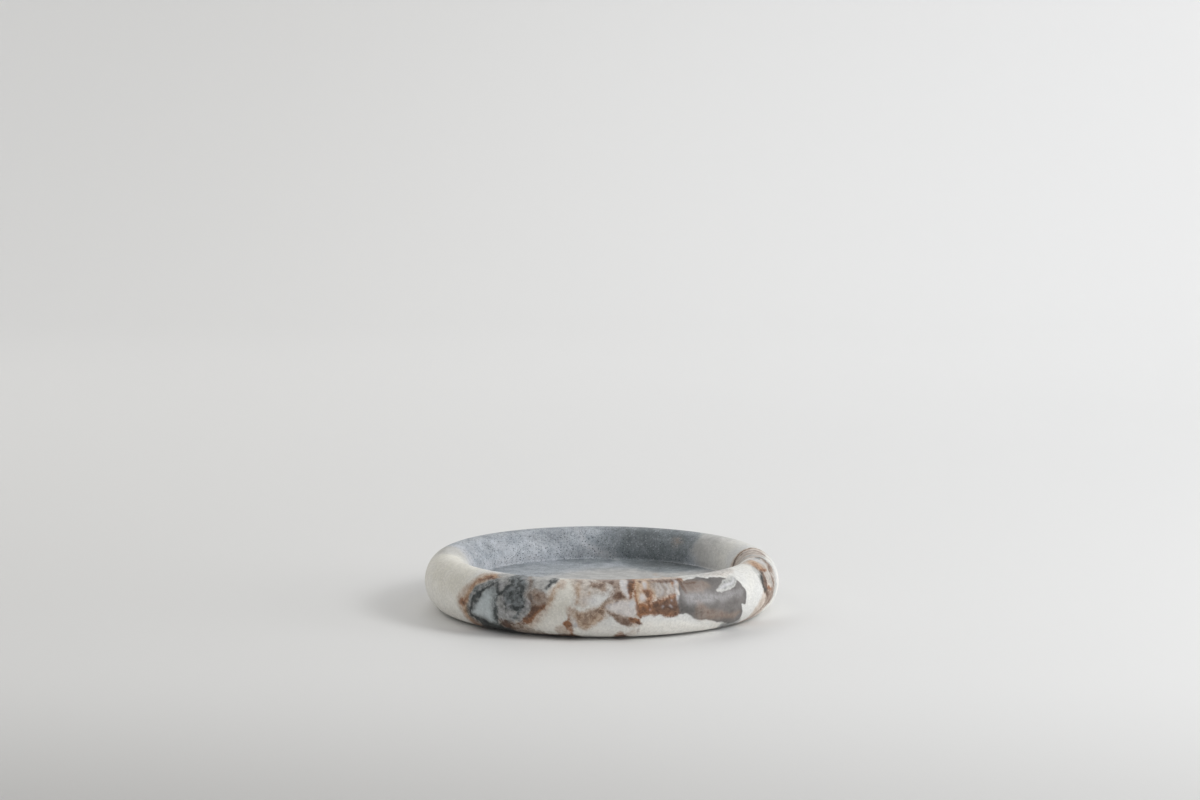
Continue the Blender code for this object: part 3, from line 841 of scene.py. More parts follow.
streak("taupe", [(117, -5), (112, -9), (105, -13), (97, -17.0), (91, -21)], 3.6, 3.0, 2.8, 3.2,
       edge=1.5, strength=0.75)
streak("umber", [(127.5, 3), (123.5, -3.5), (114, -9.6), (104, -15.0)], 0.9, 1.3, 0.9, edge=1.0,
       strength=0.62)
covered("black", "taupe", "umber")

# %% Paths of the layers that cross the crown beside it
MAIN_LAYER = [(171.0, 46.0), (171.2, 40.0), (172.0, 36.0), (173.6, 32.0), (174.0, 27.0), (173.4, 22.0),
              (169.0, 17.5), (163.0, 13.0)]
LAYERS = {
    "brown": [(167.0, 40.0), (168.6, 35.0), (169.0, 30.6), (167.2, 27.0), (165.0, 22.8), (157.0, 19.6),
              (150.0, 16.4)],
    "grey_brown": [(160.5, 35.0), (159.5, 30.2), (157.5, 26.2), (155.5, 22.8), (152.6, 18.0),
                   (148.2, 12.2)],
    "thin": [(143.6, 34.0), (142.5, 29.0), (141.0, 25.8), (140.4, 21.0), (138.8, 17.0)],
    "dark": [(139.4, 26.0), (139.6, 21.8), (139.4, 18.0), (137.4, 14.6), (134.4, 11.6), (130.0, 10.4)],
}
print(len(LAYERS) + 1, "layers cross the crown")

# %% Lay them over the crown
patch("blush", [(178, 46), (178, 30), (175, 21), (164, 17), (150, 18.5), (142, 19), (137, 17), (137, 24),
                (140, 36), (158, 44)], edge=2.6, strength=0.62)
patch("mist", [(168, 38), (170, 28), (160, 20), (144, 17), (140, 24), (146, 36)], edge=3.0,
      strength=0.66)
streak("tan", MAIN_LAYER, 5.0, 5.4, 5.0, 4.0, 3.0, edge=2.0, strength=0.7)
streak("umber", MAIN_LAYER, 4.0, 4.2, 3.2, 2.0, 1.6, 1.0, edge=1.4, strength=0.96)
streak("soot_and_painted_shadow", MAIN_LAYER[:4], 1.4, 2.6, 1.0, edge=1.2, strength=0.66)
streak("taupe", LAYERS["brown"], 2.6, 3.0, 2.6, 2.0, edge=1.4, strength=0.85)
streak("umber", LAYERS["brown"], 0.6, 1.2, 0.9, 0.5, edge=0.9, strength=0.6)
streak("taupe", LAYERS["grey_brown"], 1.6, 2.6, 2.2, 1.6, edge=1.2, strength=0.8)
streak("haze", [(150.6, 36), (150.0, 30), (148.4, 25), (146.0, 20)], 4.0, 5.4, 3.4, edge=2.0,
       strength=0.8)
for fleck_along, fleck_up in ((151.4, 33.0), (148.6, 30.4), (151.0, 27.6), (147.4, 26.0), (153.6, 30.6)):
    spots("mottle", (fleck_along, fleck_up, 1.8, 1.4), edge=0.9, strength=0.85)
streak("umber", LAYERS["thin"], 0.7, 1.3, 1.1, 0.6, edge=0.9, strength=0.66)
streak("taupe", LAYERS["dark"], 1.6, 3.4, 4.2, 4.0, 2.4, edge=1.6, strength=0.85)
streak("umber", LAYERS["dark"], 0.6, 1.4, 1.6, 2.4, 2.0, edge=1.3, strength=0.6)
spots("mottle", (140.6, 18.6, 6.6, 6.6), (137.0, 21.0, 5.0, 4.0), edge=2.0, strength=0.8)
patch("crystal_and_painted_sheen", [(128.5, 23.5), (133.5, 24.0), (134.5, 18.0), (132.5, 14.6), (127.6, 15.4),
                  (126.4, 19.0)], edge=1.6, strength=0.5)
covered("blush", "taupe")

# %% [markdown]
# ### The recess and the back
#
# Inside, the block turns blue-grey, darkest at the back right, where it starts along a nearly
# straight joint. The photograph shows nothing of the outer back, so the grey is let run over
# the crown there and thin out, with a few veins of the same kinds as in front.

# %% Draw the recess and the back
patch("mist", [(216, 56), (214, 20), (234, 10), (262, 8), (262, 56)], edge=30, strength=0.98)
patch("mist", [(440, 12), (470, 14), (484, 24), (472, 33), (452, 36)], edge=8, strength=0.7)
patch("blue_grey", [(243, 54), (240, 36), (240, 26), (247, 12), (270, 0), (300, -3), (350, 0), (400, 2),
                    (440, 8), (451, 22), (457, 36), (449, 54)], edge=7)
patch("deep_grey", [(245, 58), (242.5, 44), (239.6, 38), (238, 31), (239.5, 25), (248, 19), (270, 17),
                    (284, 22), (286, 58)], edge=6, strength=0.95)
patch("deep_grey", [(252, 60), (254, 22), (270, 12), (296, 14), (310, 26), (312, 60)], edge=15,
      strength=0.86)
covered("mist", "blue_grey", "deep_grey")

# %% Draw the mist and the dark clouds in the recess
WISP = [(298, 52), (307, 44.5), (320, 41), (327.6, 37), (330, 30), (332.5, 26), (334, 16)]
streak("mist", WISP, 8, 8, 9, 9, 8, edge=6.0, strength=0.7)
streak("crystal_and_painted_sheen", WISP, 2.0, 4.6, 5.0, 4.4, 2.4, edge=3.6, strength=0.5)
spots("crystal_and_painted_sheen", (366, 37, 26, 10), (398, 34, 18, 12), (436, 33, 16, 14), edge=7.0, strength=0.3)
spots("crystal_and_painted_sheen", (454, 35, 20, 20), edge=7.0, strength=0.5)
streak("crystal_and_painted_sheen", [(362, 44), (392, 43.6), (420, 43.6), (444, 43)], 4, 7, 8, 6, edge=3.0, strength=0.36)
streak("soot_and_painted_shadow", [(262, 23), (288, 24), (314, 24), (350, 24), (390, 24), (424, 24), (440, 23)],
       3, 8, 8, 5, 8, 6, 3, edge=4.0, strength=0.36)
spots("soot_and_painted_shadow", (348, 31, 26, 12), (366, 30, 20, 8), (414, 34, 14, 8), (286, 32, 34, 14),
      (332, 43, 24, 7), edge=5.0, strength=0.38)
patch("deep_grey", [(300, 44), (304, 28), (312, 28), (320, 34), (317, 42), (308, 47)], edge=5,
      strength=0.6)
spots("tan", (254, 33, 9, 7), edge=3.6, strength=0.34)
covered("mist", "crystal_and_painted_sheen", "soot_and_painted_shadow", "deep_grey")

# %% [markdown]
# The marks of the front reach the crown, and a crack that is seen on one side of a crown goes
# on down the other side. So the broader marks run on over the crown into the recess, and
# others of the same kinds cross the outer back.

# %% Let the marks of the front run on into the recess
patch("haze", [(-66, 17), (-62, 26), (-52, 33), (-42, 31), (-31, 26), (-28, 17)], edge=2.6,
      strength=0.8)
patch("mottle", [(-57, 17), (-55, 24), (-49, 30), (-44.5, 26), (-45, 18)], edge=2.2, strength=0.85)
spots("black", (-51.6, 24.0, 3.4, 3.0), (-47.6, 27.4, 2.2, 2.6), (-54.0, 22.0, 2.4, 2.0), edge=1.3,
      strength=0.8)
streak("black", [(-28.4, 20), (-29.8, 25), (-33.4, 30), (-39, 34)], 3.6, 2.6, 1.8, 0.8, edge=1.5,
       strength=0.75)
patch("blush", [(-18, 19), (-16, 28), (-4, 33), (12, 30), (24, 38), (32, 30), (46, 27), (48, 19)],
      edge=3.0, strength=0.62)
patch("taupe", [(-3, 19), (-1, 25), (5, 29), (10.5, 26), (12, 19)], edge=2.0, strength=0.8)
streak("rust", [(18.4, 20), (19.4, 26), (17.8, 32), (21, 39), (20, 50)], 3.8, 3.2, 2.4, 1.6, 1.0,
       edge=1.5, strength=0.85)
streak("umber", [(18.6, 21), (19.0, 28), (18.4, 34), (20.6, 42)], 1.4, 1.4, 1.0, 0.6, edge=1.2,
       strength=0.6)
streak("tan", [(21, 20), (22.6, 28), (21.4, 35), (25, 46)], 3.4, 3.2, 2.6, 1.8, edge=1.8,
       strength=0.8)
streak("taupe", [(38, 18), (34, 25), (35, 33), (30, 40), (31, 50)], 3.0, 2.2, 2.6, 1.4, edge=1.6,
       strength=0.75)
streak("umber", [(46, 18.2), (44, 24), (39, 30), (37, 38)], 1.6, 1.2, 0.9, 0.4, edge=1.2,
       strength=0.6)
patch("haze", [(46, 24), (58, 24), (72, 28), (88, 33), (90, 38), (74, 38), (58, 36), (48, 31)], edge=3.0,
      strength=0.66)
patch("slate", [(49, 25), (57, 25.6), (66, 29), (75, 31.4), (84, 35.6), (74, 35), (67, 33.6), (60, 33),
                (54, 29.4)], edge=1.5, strength=0.85)
patch("haze", [(60, 23), (66, 18.6), (78, 17.4), (92, 19), (90, 26), (64, 28)], edge=2.4,
      strength=0.5)
covered("haze", "slate")

# %% Veins across the outer back
patch("haze", [(262, 12), (270, -6), (286, -14), (300, -4), (318, -12), (330, 4), (312, 14)],
      edge=6, strength=0.55)
patch("blush", [(206, 10), (214, 6), (226, -6), (238, -14), (246, -6), (234, 7), (218, 14)],
      edge=3.4, strength=0.62)
streak("tan", [(203, 13), (212, 9), (222, 1), (232, -9), (244, -22)], 1.0, 3.6, 4.4, 3.0, edge=1.9,
       strength=0.8)
streak("rust", [(206, 11), (213, 7), (221, 0), (229, -7)], 0.8, 2.6, 2.0, 0.8, edge=1.5,
       strength=0.75)
streak("umber", [(204, 13), (212, 9), (219, 4), (228, -4), (240, -16)], 0.4, 1.2, 0.8, 1.2,
       edge=1.0, strength=0.6)
patch("haze", [(352, 10), (372, 8), (380, -2), (372, -14), (352, -18), (342, -8)], edge=5.0,
      strength=0.6)
streak("taupe", [(381, 17), (373, 8), (368, -1), (357, -7), (349, -16), (346, -26)], 1.2, 2.8, 4.6, 3.4,
       2.6, edge=2.0, strength=0.66)
streak("umber", [(384, 20), (374, 9), (367, 0), (357, -8), (350, -18)], 0.4, 1.2, 1.6, 1.0, 0.5,
       edge=1.1, strength=0.62)
streak("umber", [(238, -12), (256, -15), (276, -12), (304, -6), (330, -10), (351, -12)], 0.3, 0.8, 0.5,
       0.9, 0.4, edge=0.9, strength=0.52)
streak("haze", [(392, 18), (402, 6), (416, -2), (424, -14), (436, -24)], 5, 7, 5, 6, edge=3.0,
       strength=0.66)
streak("black", [(390, 20), (396, 12), (405, 3), (415, -3), (421, -10), (435, -18)], 0.3, 0.9, 1.4, 1.0,
       0.5, edge=1.0, strength=0.6)
patch("blush", [(278, 12), (288, 8), (298, 1), (308, -5), (314, -16), (304, -14), (292, -6), (282, 2)],
      edge=2.6, strength=0.62)
streak("rust", [(276, 14), (286, 8), (296, 1), (303, -6), (306, -20)], 0.8, 2.6, 4.8, 3.4, 1.4,
       edge=1.8, strength=0.62)
streak("umber", [(266, 22), (278, 13), (288, 7), (297, 0), (303, -7), (305, -18)], 0.3, 0.8, 1.2, 2.2,
       1.2, 0.6, edge=1.2, strength=0.66)
covered("umber", "black")

# %% Clouds and veins on the floor
floor_cloud("mist", [(-84, 20), (-30, 84), (40, 84), (84, 40), (80, 4), (50, -16), (20, -4),
                     (-14, -30), (-50, -34), (-84, -10)], edge=26, strength=0.9)
floor_cloud("blue_grey", [(-84, 36), (-40, 84), (40, 80), (70, 48), (44, 33), (16, 44), (-8, 40),
                          (-32, 18), (-56, -4), (-84, -20)], edge=14, strength=0.94)
floor_cloud("deep_grey", [(8, 80), (52, 76), (58, 46), (42, 32), (22, 38)], edge=10, strength=0.95)
floor_cloud("soot_and_painted_shadow", [(26, 78), (54, 70), (60, 46), (36, 44)], edge=8, strength=0.36)
floor_cloud("soot_and_painted_shadow", [(22, 68), (48, 66), (46, 48), (24, 48)], edge=7, strength=0.5)
floor_cloud("deep_grey", [(-26, 84), (12, 84), (8, 60), (-20, 56)], edge=11, strength=0.68)
floor_cloud("deep_grey", [(-34, 54), (24, 54), (26, 38), (-10, 34), (-32, 38)], edge=9, strength=0.38)
floor_cloud("deep_grey", [(-72, 54), (-32, 58), (-8, 52), (-14, 36), (-38, 14), (-72, 12)], edge=9,
            strength=0.44)
floor_cloud("cream", [(-50, -60), (-10, -78), (30, -66), (20, -44), (-30, -40)], edge=16,
            strength=0.7)
floor_vein("tan", [(15, -76), (22, -56), (18, -36), (29, -14), (35, 10), (31, 26)], 2.4, 4.0, 3.0,
           2.6, 1.6, edge=2.6, strength=0.6)
floor_vein("umber", [(14.6, -76), (21, -57), (18.6, -38), (28, -16), (34, 6)], 0.9, 1.5, 0.8, 1.1,
           0.5, edge=1.4, strength=0.6)
floor_vein("haze", [(-50, -58), (-34, -36), (-20, -22), (-8, 0), (-12, 24)], 5, 7, 4, 6, 3, edge=4,
           strength=0.55)
floor_vein("soot_and_painted_shadow", [(-52, -56), (-36, -37), (-22, -24), (-12, -6)], 0.8, 1.4, 0.9, 0.5, edge=1.5,
           strength=0.36)
floor_vein("taupe", [(33, -68), (38, -50), (52, -36), (60, -18), (74, -8)], 1.4, 2.4, 1.6, 2.0,
           edge=2.0, strength=0.5)
covered("mist", "blue_grey", "soot_and_painted_shadow")

# %% Store the sheets on the mesh
for mineral, depth in figure.items():
    sheet = stone_mesh.attributes.new(mineral, "FLOAT", "POINT")
    sheet.data.foreach_set("value", depth.astype(np.float32))
print(len(figure), "minerals drawn")

# %% [markdown]
# ## The marble's finish
#
# Honed marble is pale calcite crystals about a millimetre across, which scatter the light a
# little differently, and it has a broad soft sheen and no mirror. The material is a stack:
# white stone first, then each mineral through its sheet, and fine grain over everything. All
# noise is three-dimensional, so the grain runs through the block and shows no seam.

# %% Helpers for materials
NODE_SPACING = 190
NODES_IN_ROW = 12


def new_material(name):
    """A material with only a Principled shader, and the node tree and shader themselves."""
    material = bpy.data.materials.new(name)
    material.use_nodes = True
    tree = material.node_tree
    return material, tree, tree.nodes["Principled BSDF"]


def add(tree, kind, inputs=None, **settings):
    """Add a node, set its options, and plug or type its inputs."""
    node = tree.nodes.new(kind)
    for name, value in settings.items():
        setattr(node, name, value)
    for name, value in (inputs or {}).items():
        if isinstance(value, bpy.types.NodeSocket):
            tree.links.new(value, node.inputs[name])
        else:
            node.inputs[name].default_value = value
    row, place_in_row = divmod(len(tree.nodes), NODES_IN_ROW)
    node.location = (-NODE_SPACING * (place_in_row + 2), NODE_SPACING * row)
    return node


def calculate(tree, operation, first, second, third=0.0):
    """One step of arithmetic."""
    node = add(tree, "ShaderNodeMath", {0: first, 1: second, 2: third}, operation=operation)
    return node.outputs[0]


def blend(tree, share, below, above, how="MIX"):
    """Colour `above` over colour `below`, as far as the share says."""
    inputs = {"Factor": share, 6: below, 7: above}  # 6, 7 and output 2 are the colour sockets
    return add(tree, "ShaderNodeMix", inputs, data_type="RGBA", blend_type=how).outputs[2]


def grade(tree, value, low, high, to_low=0.0, to_high=1.0):
    """Stretch a value between two limits into a smooth step."""
    inputs = {0: value, 1: low, 2: high, 3: to_low, 4: to_high}  # the node's own order
    return add(tree, "ShaderNodeMapRange", inputs, interpolation_type="SMOOTHSTEP").outputs[0]


# %% Helpers for noise, sheets and colours


def noise(tree, place, per_mm, detail=2.0, roughness=0.5, distortion=0.0):
    """Cloudy noise with so many features to the millimetre."""
    inputs = {
        "Vector": place,
        "Scale": per_mm,
        "Detail": detail,
        "Roughness": roughness,
        "Distortion": distortion,
    }
    return add(tree, "ShaderNodeTexNoise", inputs).outputs["Fac"]


def read_sheet(tree, mineral):
    """The value of a mineral's sheet."""
    return add(tree, "ShaderNodeAttribute", attribute_name=mineral).outputs["Fac"]


def colour(red, green, blue):
    """A colour as a share of the light that it throws back."""
    return red, green, blue, 1.0


# %% The place in the solid, in millimetres
marble, tree, shader = new_material("honed_marble")
object_place = add(tree, "ShaderNodeTexCoord").outputs["Object"]
place = add(
    tree, "ShaderNodeVectorMath", {0: object_place, "Scale": 1 / MM}, operation="SCALE"
).outputs[0]

# %% Noises that all minerals share
drift = noise(tree, place, per_mm=0.03, detail=3)
cloud = noise(tree, place, per_mm=0.14, detail=4, roughness=0.6)
fray = noise(tree, place, per_mm=0.42, detail=4, roughness=0.65, distortion=0.4)
grit = noise(tree, place, per_mm=1.5, detail=3, roughness=0.7)
print(len(tree.nodes), "nodes for the place and the shared noises")

# %% White stone, with faint hairline cracks
WARM_WHITE = colour(0.735, 0.72, 0.67)
COOL_WHITE = colour(0.70, 0.698, 0.68)
NOISE_MEAN = 0.5  # noise textures swing about this value
DRIFT_STEP = (0.38, 0.62)
CRACK_STAIN = colour(0.52, 0.47, 0.41)
CRACKED_CLOUDS = (0.45, 0.62)
CRACK_WIDTH = 0.006
CRACK_OPACITY = 0.5

stone_colour = blend(tree, grade(tree, drift, *DRIFT_STEP), WARM_WHITE, COOL_WHITE)
crack_noise = noise(tree, place, per_mm=0.045, detail=5, roughness=0.55, distortion=1.2)
crack_line = calculate(tree, "SUBTRACT", crack_noise, NOISE_MEAN)
crack_line = calculate(tree, "ABSOLUTE", crack_line, 0.0)
crack = grade(tree, crack_line, 0.0, CRACK_WIDTH, CRACK_OPACITY, 0.0)
crack = calculate(tree, "MULTIPLY", crack, grade(tree, cloud, *CRACKED_CLOUDS))
stone_colour = blend(tree, crack, stone_colour, CRACK_STAIN)
print(len(tree.nodes), "nodes with the white stone and its cracks")

# %% [markdown]
# Each mineral's sheet is read back and pushed about by the noises. The push is strongest
# where the sheet is half open and nothing where it is empty or full, so only the edges fray.
# Then the edge is cut sharp again, and two tones of the mineral are laid through it.
# `fraying` says how far the edge wanders, and `softness` how blurred it stays.

# %% Lay the minerals over the white
GRIT_SHARE = 0.45
FRAY_SHARE = 0.9
TONE_STEP = (0.36, 0.64)
HALF_OPEN = 0.25  # sheet times (1 - sheet) where a sheet is half open

edge_noise = calculate(tree, "MULTIPLY", fray, FRAY_SHARE)
edge_noise = calculate(tree, "MULTIPLY_ADD", grit, GRIT_SHARE, edge_noise)
edge_push = calculate(tree, "SUBTRACT", edge_noise, NOISE_MEAN * (GRIT_SHARE + FRAY_SHARE))


def lay_mineral(below, mineral, light, dark, fraying, softness, tones):
    """Put a mineral of two tones over the stone, through its frayed sheet."""
    sheet = read_sheet(tree, mineral)
    room = calculate(tree, "MULTIPLY", sheet, calculate(tree, "SUBTRACT", 1.0, sheet))
    room = calculate(tree, "MULTIPLY", room, fraying / HALF_OPEN)
    frayed = calculate(tree, "MULTIPLY_ADD", edge_push, room, sheet)
    share = grade(tree, frayed, 0.5 - softness, 0.5 + softness)
    toned = blend(tree, grade(tree, tones, *TONE_STEP), light, dark)
    return blend(tree, share, below, toned)


MINERAL_LOOKS = {  # light tone, dark tone, fraying, softness, the noise that mixes the tones
    "cream": ((0.77, 0.745, 0.675), (0.735, 0.71, 0.63), 0.5, 0.5, cloud),
    # the next entry is painted light along the foot, not a mineral
    "painted_bounce_light": ((0.88, 0.865, 0.82), (0.84, 0.82, 0.77), 0.5, 0.5, cloud),
    "mist": ((0.48, 0.475, 0.46), (0.39, 0.385, 0.375), 0.6, 0.5, cloud),
    "blue_grey": ((0.465, 0.495, 0.535), (0.325, 0.355, 0.39), 0.8, 0.5, cloud),
    "deep_grey": ((0.225, 0.25, 0.265), (0.15, 0.172, 0.183), 0.7, 0.5, cloud),
    "blush": ((0.575, 0.475, 0.40), (0.46, 0.36, 0.285), 0.9, 0.5, fray),
    "tan": ((0.54, 0.385, 0.262), (0.42, 0.29, 0.195), 1.1, 0.5, fray),
    "lens": ((0.585, 0.635, 0.645), (0.50, 0.55, 0.56), 0.6, 0.34, cloud),
    "haze": ((0.435, 0.435, 0.425), (0.325, 0.325, 0.318), 0.8, 0.5, fray),
    "mottle": ((0.245, 0.27, 0.285), (0.115, 0.132, 0.132), 1.3, 0.42, fray),
    "slate": ((0.188, 0.175, 0.168), (0.142, 0.13, 0.124), 0.3, 0.34, cloud),
    "taupe": ((0.36, 0.28, 0.228), (0.235, 0.17, 0.134), 1.2, 0.5, fray),
    "rust": ((0.365, 0.18, 0.09), (0.225, 0.098, 0.048), 1.2, 0.42, fray),
    "umber": ((0.175, 0.098, 0.064), (0.102, 0.057, 0.038), 1.3, 0.46, fray),
    "crystal_and_painted_sheen": ((0.68, 0.68, 0.70), (0.55, 0.54, 0.56), 1.0, 0.5, fray),
    "soot_and_painted_shadow": ((0.085, 0.088, 0.085), (0.045, 0.048, 0.047), 0.7, 0.5, fray),
    "black": ((0.07, 0.077, 0.077), (0.024, 0.03, 0.031), 1.1, 0.42, fray),
}
for mineral, (light, dark, fraying, softness, tones) in MINERAL_LOOKS.items():
    stone_colour = lay_mineral(
        stone_colour, mineral, colour(*light), colour(*dark), fraying, softness, tones
    )
print(len(MINERAL_LOOKS), "minerals laid over the white")

# %% [markdown]
# The blue-grey stone is peppered with dark specks of half a millimetre. A Voronoi texture
# scatters one cell point in each small cube of stone, and only the nearest surroundings of
# some of those points are darkened.

# %% Specks in the blue-grey stone
DARK_SPECK = colour(0.075, 0.088, 0.10)
PALE_SPECK = colour(0.56, 0.58, 0.62)
SPECK_CORE = 0.45
SPECK_CHOICE = (0.2, 0.75)
SPECK_KINDS = (  # colour, cells per mm, reach in cells, opacity
    (PALE_SPECK, 0.72, 0.44, 0.30),
    (DARK_SPECK, 1.25, 0.46, 0.80),
    (DARK_SPECK, 0.55, 0.30, 0.88),
)

grey_stone = calculate(
    tree, "MAXIMUM", read_sheet(tree, "blue_grey"), read_sheet(tree, "deep_grey")
)
for speck_colour, per_mm, reach, opacity in SPECK_KINDS:
    cells = add(tree, "ShaderNodeTexVoronoi", {"Vector": place, "Scale": per_mm})
    speck = grade(tree, cells.outputs["Distance"], reach * SPECK_CORE, reach, opacity, 0.0)
    choice = add(tree, "ShaderNodeSeparateColor", {"Color": cells.outputs["Color"]})
    chosen = grade(tree, choice.outputs["Red"], *SPECK_CHOICE)
    speck = calculate(tree, "MULTIPLY", speck, chosen)
    speck = calculate(tree, "MULTIPLY", speck, grey_stone)
    stone_colour = blend(tree, speck, stone_colour, speck_colour)
print(len(SPECK_KINDS), "kinds of specks")

# %% [markdown]
# Each crystal throws back a little more or less light than its neighbour. The cells of a
# Voronoi texture are such crystals: one random number to a cell shades the colour, a second
# one the sheen, and a very low bump keeps the highlights from looking like plastic.

# %% Crystal grain in the colour
GRAIN_PER_MM = 0.9
GRAIN_LIGHT = (0.93, 1.05)
GRIT_STEP = (0.3, 0.7)
GRIT_LIGHT = (1.05, 0.95)

grain_cells = add(tree, "ShaderNodeTexVoronoi", {"Vector": place, "Scale": GRAIN_PER_MM})
grain = add(tree, "ShaderNodeSeparateColor", {"Color": grain_cells.outputs["Color"]})
grain_light = grade(tree, grain.outputs["Green"], 0.0, 1.0, *GRAIN_LIGHT)
grit_light = grade(tree, grit, *GRIT_STEP, *GRIT_LIGHT)
grain_light = calculate(tree, "MULTIPLY", grain_light, grit_light)
grain_grey = add(
    tree, "ShaderNodeCombineColor", {"Red": grain_light, "Green": grain_light, "Blue": grain_light}
).outputs[0]
stone_colour = blend(tree, 1.0, stone_colour, grain_grey, how="MULTIPLY")
tree.links.new(stone_colour, shader.inputs["Base Color"])
print(len(tree.nodes), "nodes up to the finished colour")

# %% Sheen and fine unevenness
SHEEN_STEP = (0.35, 0.65)
ROUGHNESS = (0.43, 0.50)
GRAIN_ROUGHNESS = 0.06
GRIT_IN_BUMP = 0.7
BUMP_HEIGHT = 0.02 * MM
BUMP_STRENGTH = 0.5
SPECULAR_LEVEL = 0.36

sheen = grade(tree, cloud, *SHEEN_STEP, *ROUGHNESS)
sheen = calculate(tree, "MULTIPLY_ADD", grain.outputs["Blue"], GRAIN_ROUGHNESS, sheen)
tree.links.new(sheen, shader.inputs["Roughness"])
unevenness = calculate(tree, "MULTIPLY_ADD", grit, GRIT_IN_BUMP, grain.outputs["Blue"])
bump = add(
    tree, "ShaderNodeBump",
    {"Height": unevenness, "Distance": BUMP_HEIGHT, "Strength": BUMP_STRENGTH},
)
tree.links.new(bump.outputs[0], shader.inputs["Normal"])
shader.inputs["Specular IOR Level"].default_value = SPECULAR_LEVEL
stone_mesh.materials.append(marble)
print(len(tree.nodes), "nodes in the marble")

# %% [markdown]
# ## The pads
#
# Four thin discs of soft rubber keep the stone from scratching the table. Each is cut from a
# sheet, so its edges are nearly sharp, with only a trace of rounding from the punch, and a
# film of glue joins it to the stone. The same turning loop makes them: only the section and
# the number of columns change.

# %% Turn the pads
PAD_EDGE_ROUNDING = 0.15 * MM
GLUE_SETBACK = 0.4 * MM
GLUE_TOP_GAP = 0.02 * MM
PAD_COLUMNS = 64
PAD_EDGE_STEPS = 4
PAD_SHARP_OVER_DEGREES = 40

pad_places = np.linspace(0, AROUND, PAD_COLUMNS, endpoint=False)
pad_meshes = []
for name in sorted(frame["nodes"]):
    if not name.startswith("pad_"):
        continue
    pad_low, pad_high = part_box(name)
    pad_radius = (pad_high.x - pad_low.x) / 2
    glue_radius = pad_radius - GLUE_SETBACK
    glue_top = underside_height - GLUE_TOP_GAP
    section = [(0, glue_top, 0), (glue_radius, glue_top, 0), (glue_radius, pad_high.z, 0)]
    for turn in np.linspace(0, math.pi / 2, PAD_EDGE_STEPS + 1):
        inset = PAD_EDGE_ROUNDING * (1 - math.sin(turn))
        drop = PAD_EDGE_ROUNDING * (1 - math.cos(turn))
        section.append((pad_radius - inset, pad_high.z - drop, 0))
    for turn in np.linspace(math.pi / 2, 0, PAD_EDGE_STEPS + 1):
        inset = PAD_EDGE_ROUNDING * (1 - math.sin(turn))
        drop = PAD_EDGE_ROUNDING * (1 - math.cos(turn))
        section.append((pad_radius - inset, pad_low.z + drop, 0))
    section.append((0, pad_low.z, 0))
    pad_mesh = turned_mesh(f"cut_{name}", section, pad_places)
    pad_mesh.set_sharp_from_angle(angle=math.radians(PAD_SHARP_OVER_DEGREES))
    pad = bpy.data.objects.new(f"cut_{name}", pad_mesh)
    pad.location = ((pad_low.x + pad_high.x) / 2, (pad_low.y + pad_high.y) / 2, 0)
    bpy.context.scene.collection.objects.link(pad)
    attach(pad, "root")
    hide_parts(name)
    pad_meshes.append(pad_mesh)
print(len(pad_meshes), "pads")

# %% [markdown]
# Rubber that is punched from a sheet is dull and nearly black, with a fine grain from the
# mould. One noise does both jobs: it sets two near-black tones and two roughnesses.

# %% Finish of the pads
DARK_RUBBER = colour(0.035, 0.035, 0.038)
LIGHT_RUBBER = colour(0.055, 0.055, 0.058)
MOULD_GRAIN_PER_MM = 3.0
MOULD_GRAIN_STEP = (0.3, 0.7)
RUBBER_ROUGHNESS = (0.7, 0.82)

rubber, rubber_tree, rubber_shader = new_material("pad_rubber")
rubber_place = add(rubber_tree, "ShaderNodeTexCoord").outputs["Object"]
rubber_place = add(
    rubber_tree, "ShaderNodeVectorMath", {0: rubber_place, "Scale": 1 / MM}, operation="SCALE"
).outputs[0]
mould_grain = noise(rubber_tree, rubber_place, MOULD_GRAIN_PER_MM, detail=3)
rubber_tone = grade(rubber_tree, mould_grain, *MOULD_GRAIN_STEP)
rubber_colour = blend(rubber_tree, rubber_tone, DARK_RUBBER, LIGHT_RUBBER)
rubber_tree.links.new(rubber_colour, rubber_shader.inputs["Base Color"])
rubber_roughness = grade(rubber_tree, mould_grain, *MOULD_GRAIN_STEP, *RUBBER_ROUGHNESS)
rubber_tree.links.new(rubber_roughness, rubber_shader.inputs["Roughness"])
for pad_mesh in pad_meshes:
    pad_mesh.materials.append(rubber)
print("rubber on", len(pad_meshes), "pads")

# %% [markdown]
# ## Table and backdrop
#
# A photographer's table is one sheet of pale board that lies flat and then curves up behind,
# so that no edge shows. It is a strip of faces pulled along the profile of that bend.

# %% The sweep of pale board
TABLE_HALF_WIDTH = 4.0
TABLE_FRONT = -4.0
BEND_START = 1.5
BEND_RADIUS = 0.7
BACKDROP_TOP = 3.0
BEND_STEPS = 24

sweep_profile = [(TABLE_FRONT, 0.0)]
for turn in np.linspace(0, math.pi / 2, BEND_STEPS + 1):
    sweep_profile.append(
        (BEND_START + BEND_RADIUS * math.sin(turn), BEND_RADIUS * (1 - math.cos(turn)))
    )
sweep_profile.append((BEND_START + BEND_RADIUS, BACKDROP_TOP))
sweep_shape = bmesh.new()
ends = []
for side in (-1, 1):
    ends.append([sweep_shape.verts.new((side * TABLE_HALF_WIDTH, y, z)) for y, z in sweep_profile])
for step in range(len(sweep_profile) - 1):
    left, right = ends
    sweep_shape.faces.new((left[step], right[step], right[step + 1], left[step + 1]))
sweep_mesh = bpy.data.meshes.new("table_sweep")
sweep_shape.to_mesh(sweep_mesh)
sweep_shape.free()
sweep_mesh.shade_smooth()
sweep = bpy.data.objects.new("table_sweep", sweep_mesh)
bpy.context.scene.collection.objects.link(sweep)
print(len(sweep_mesh.polygons), "faces on the table and backdrop")

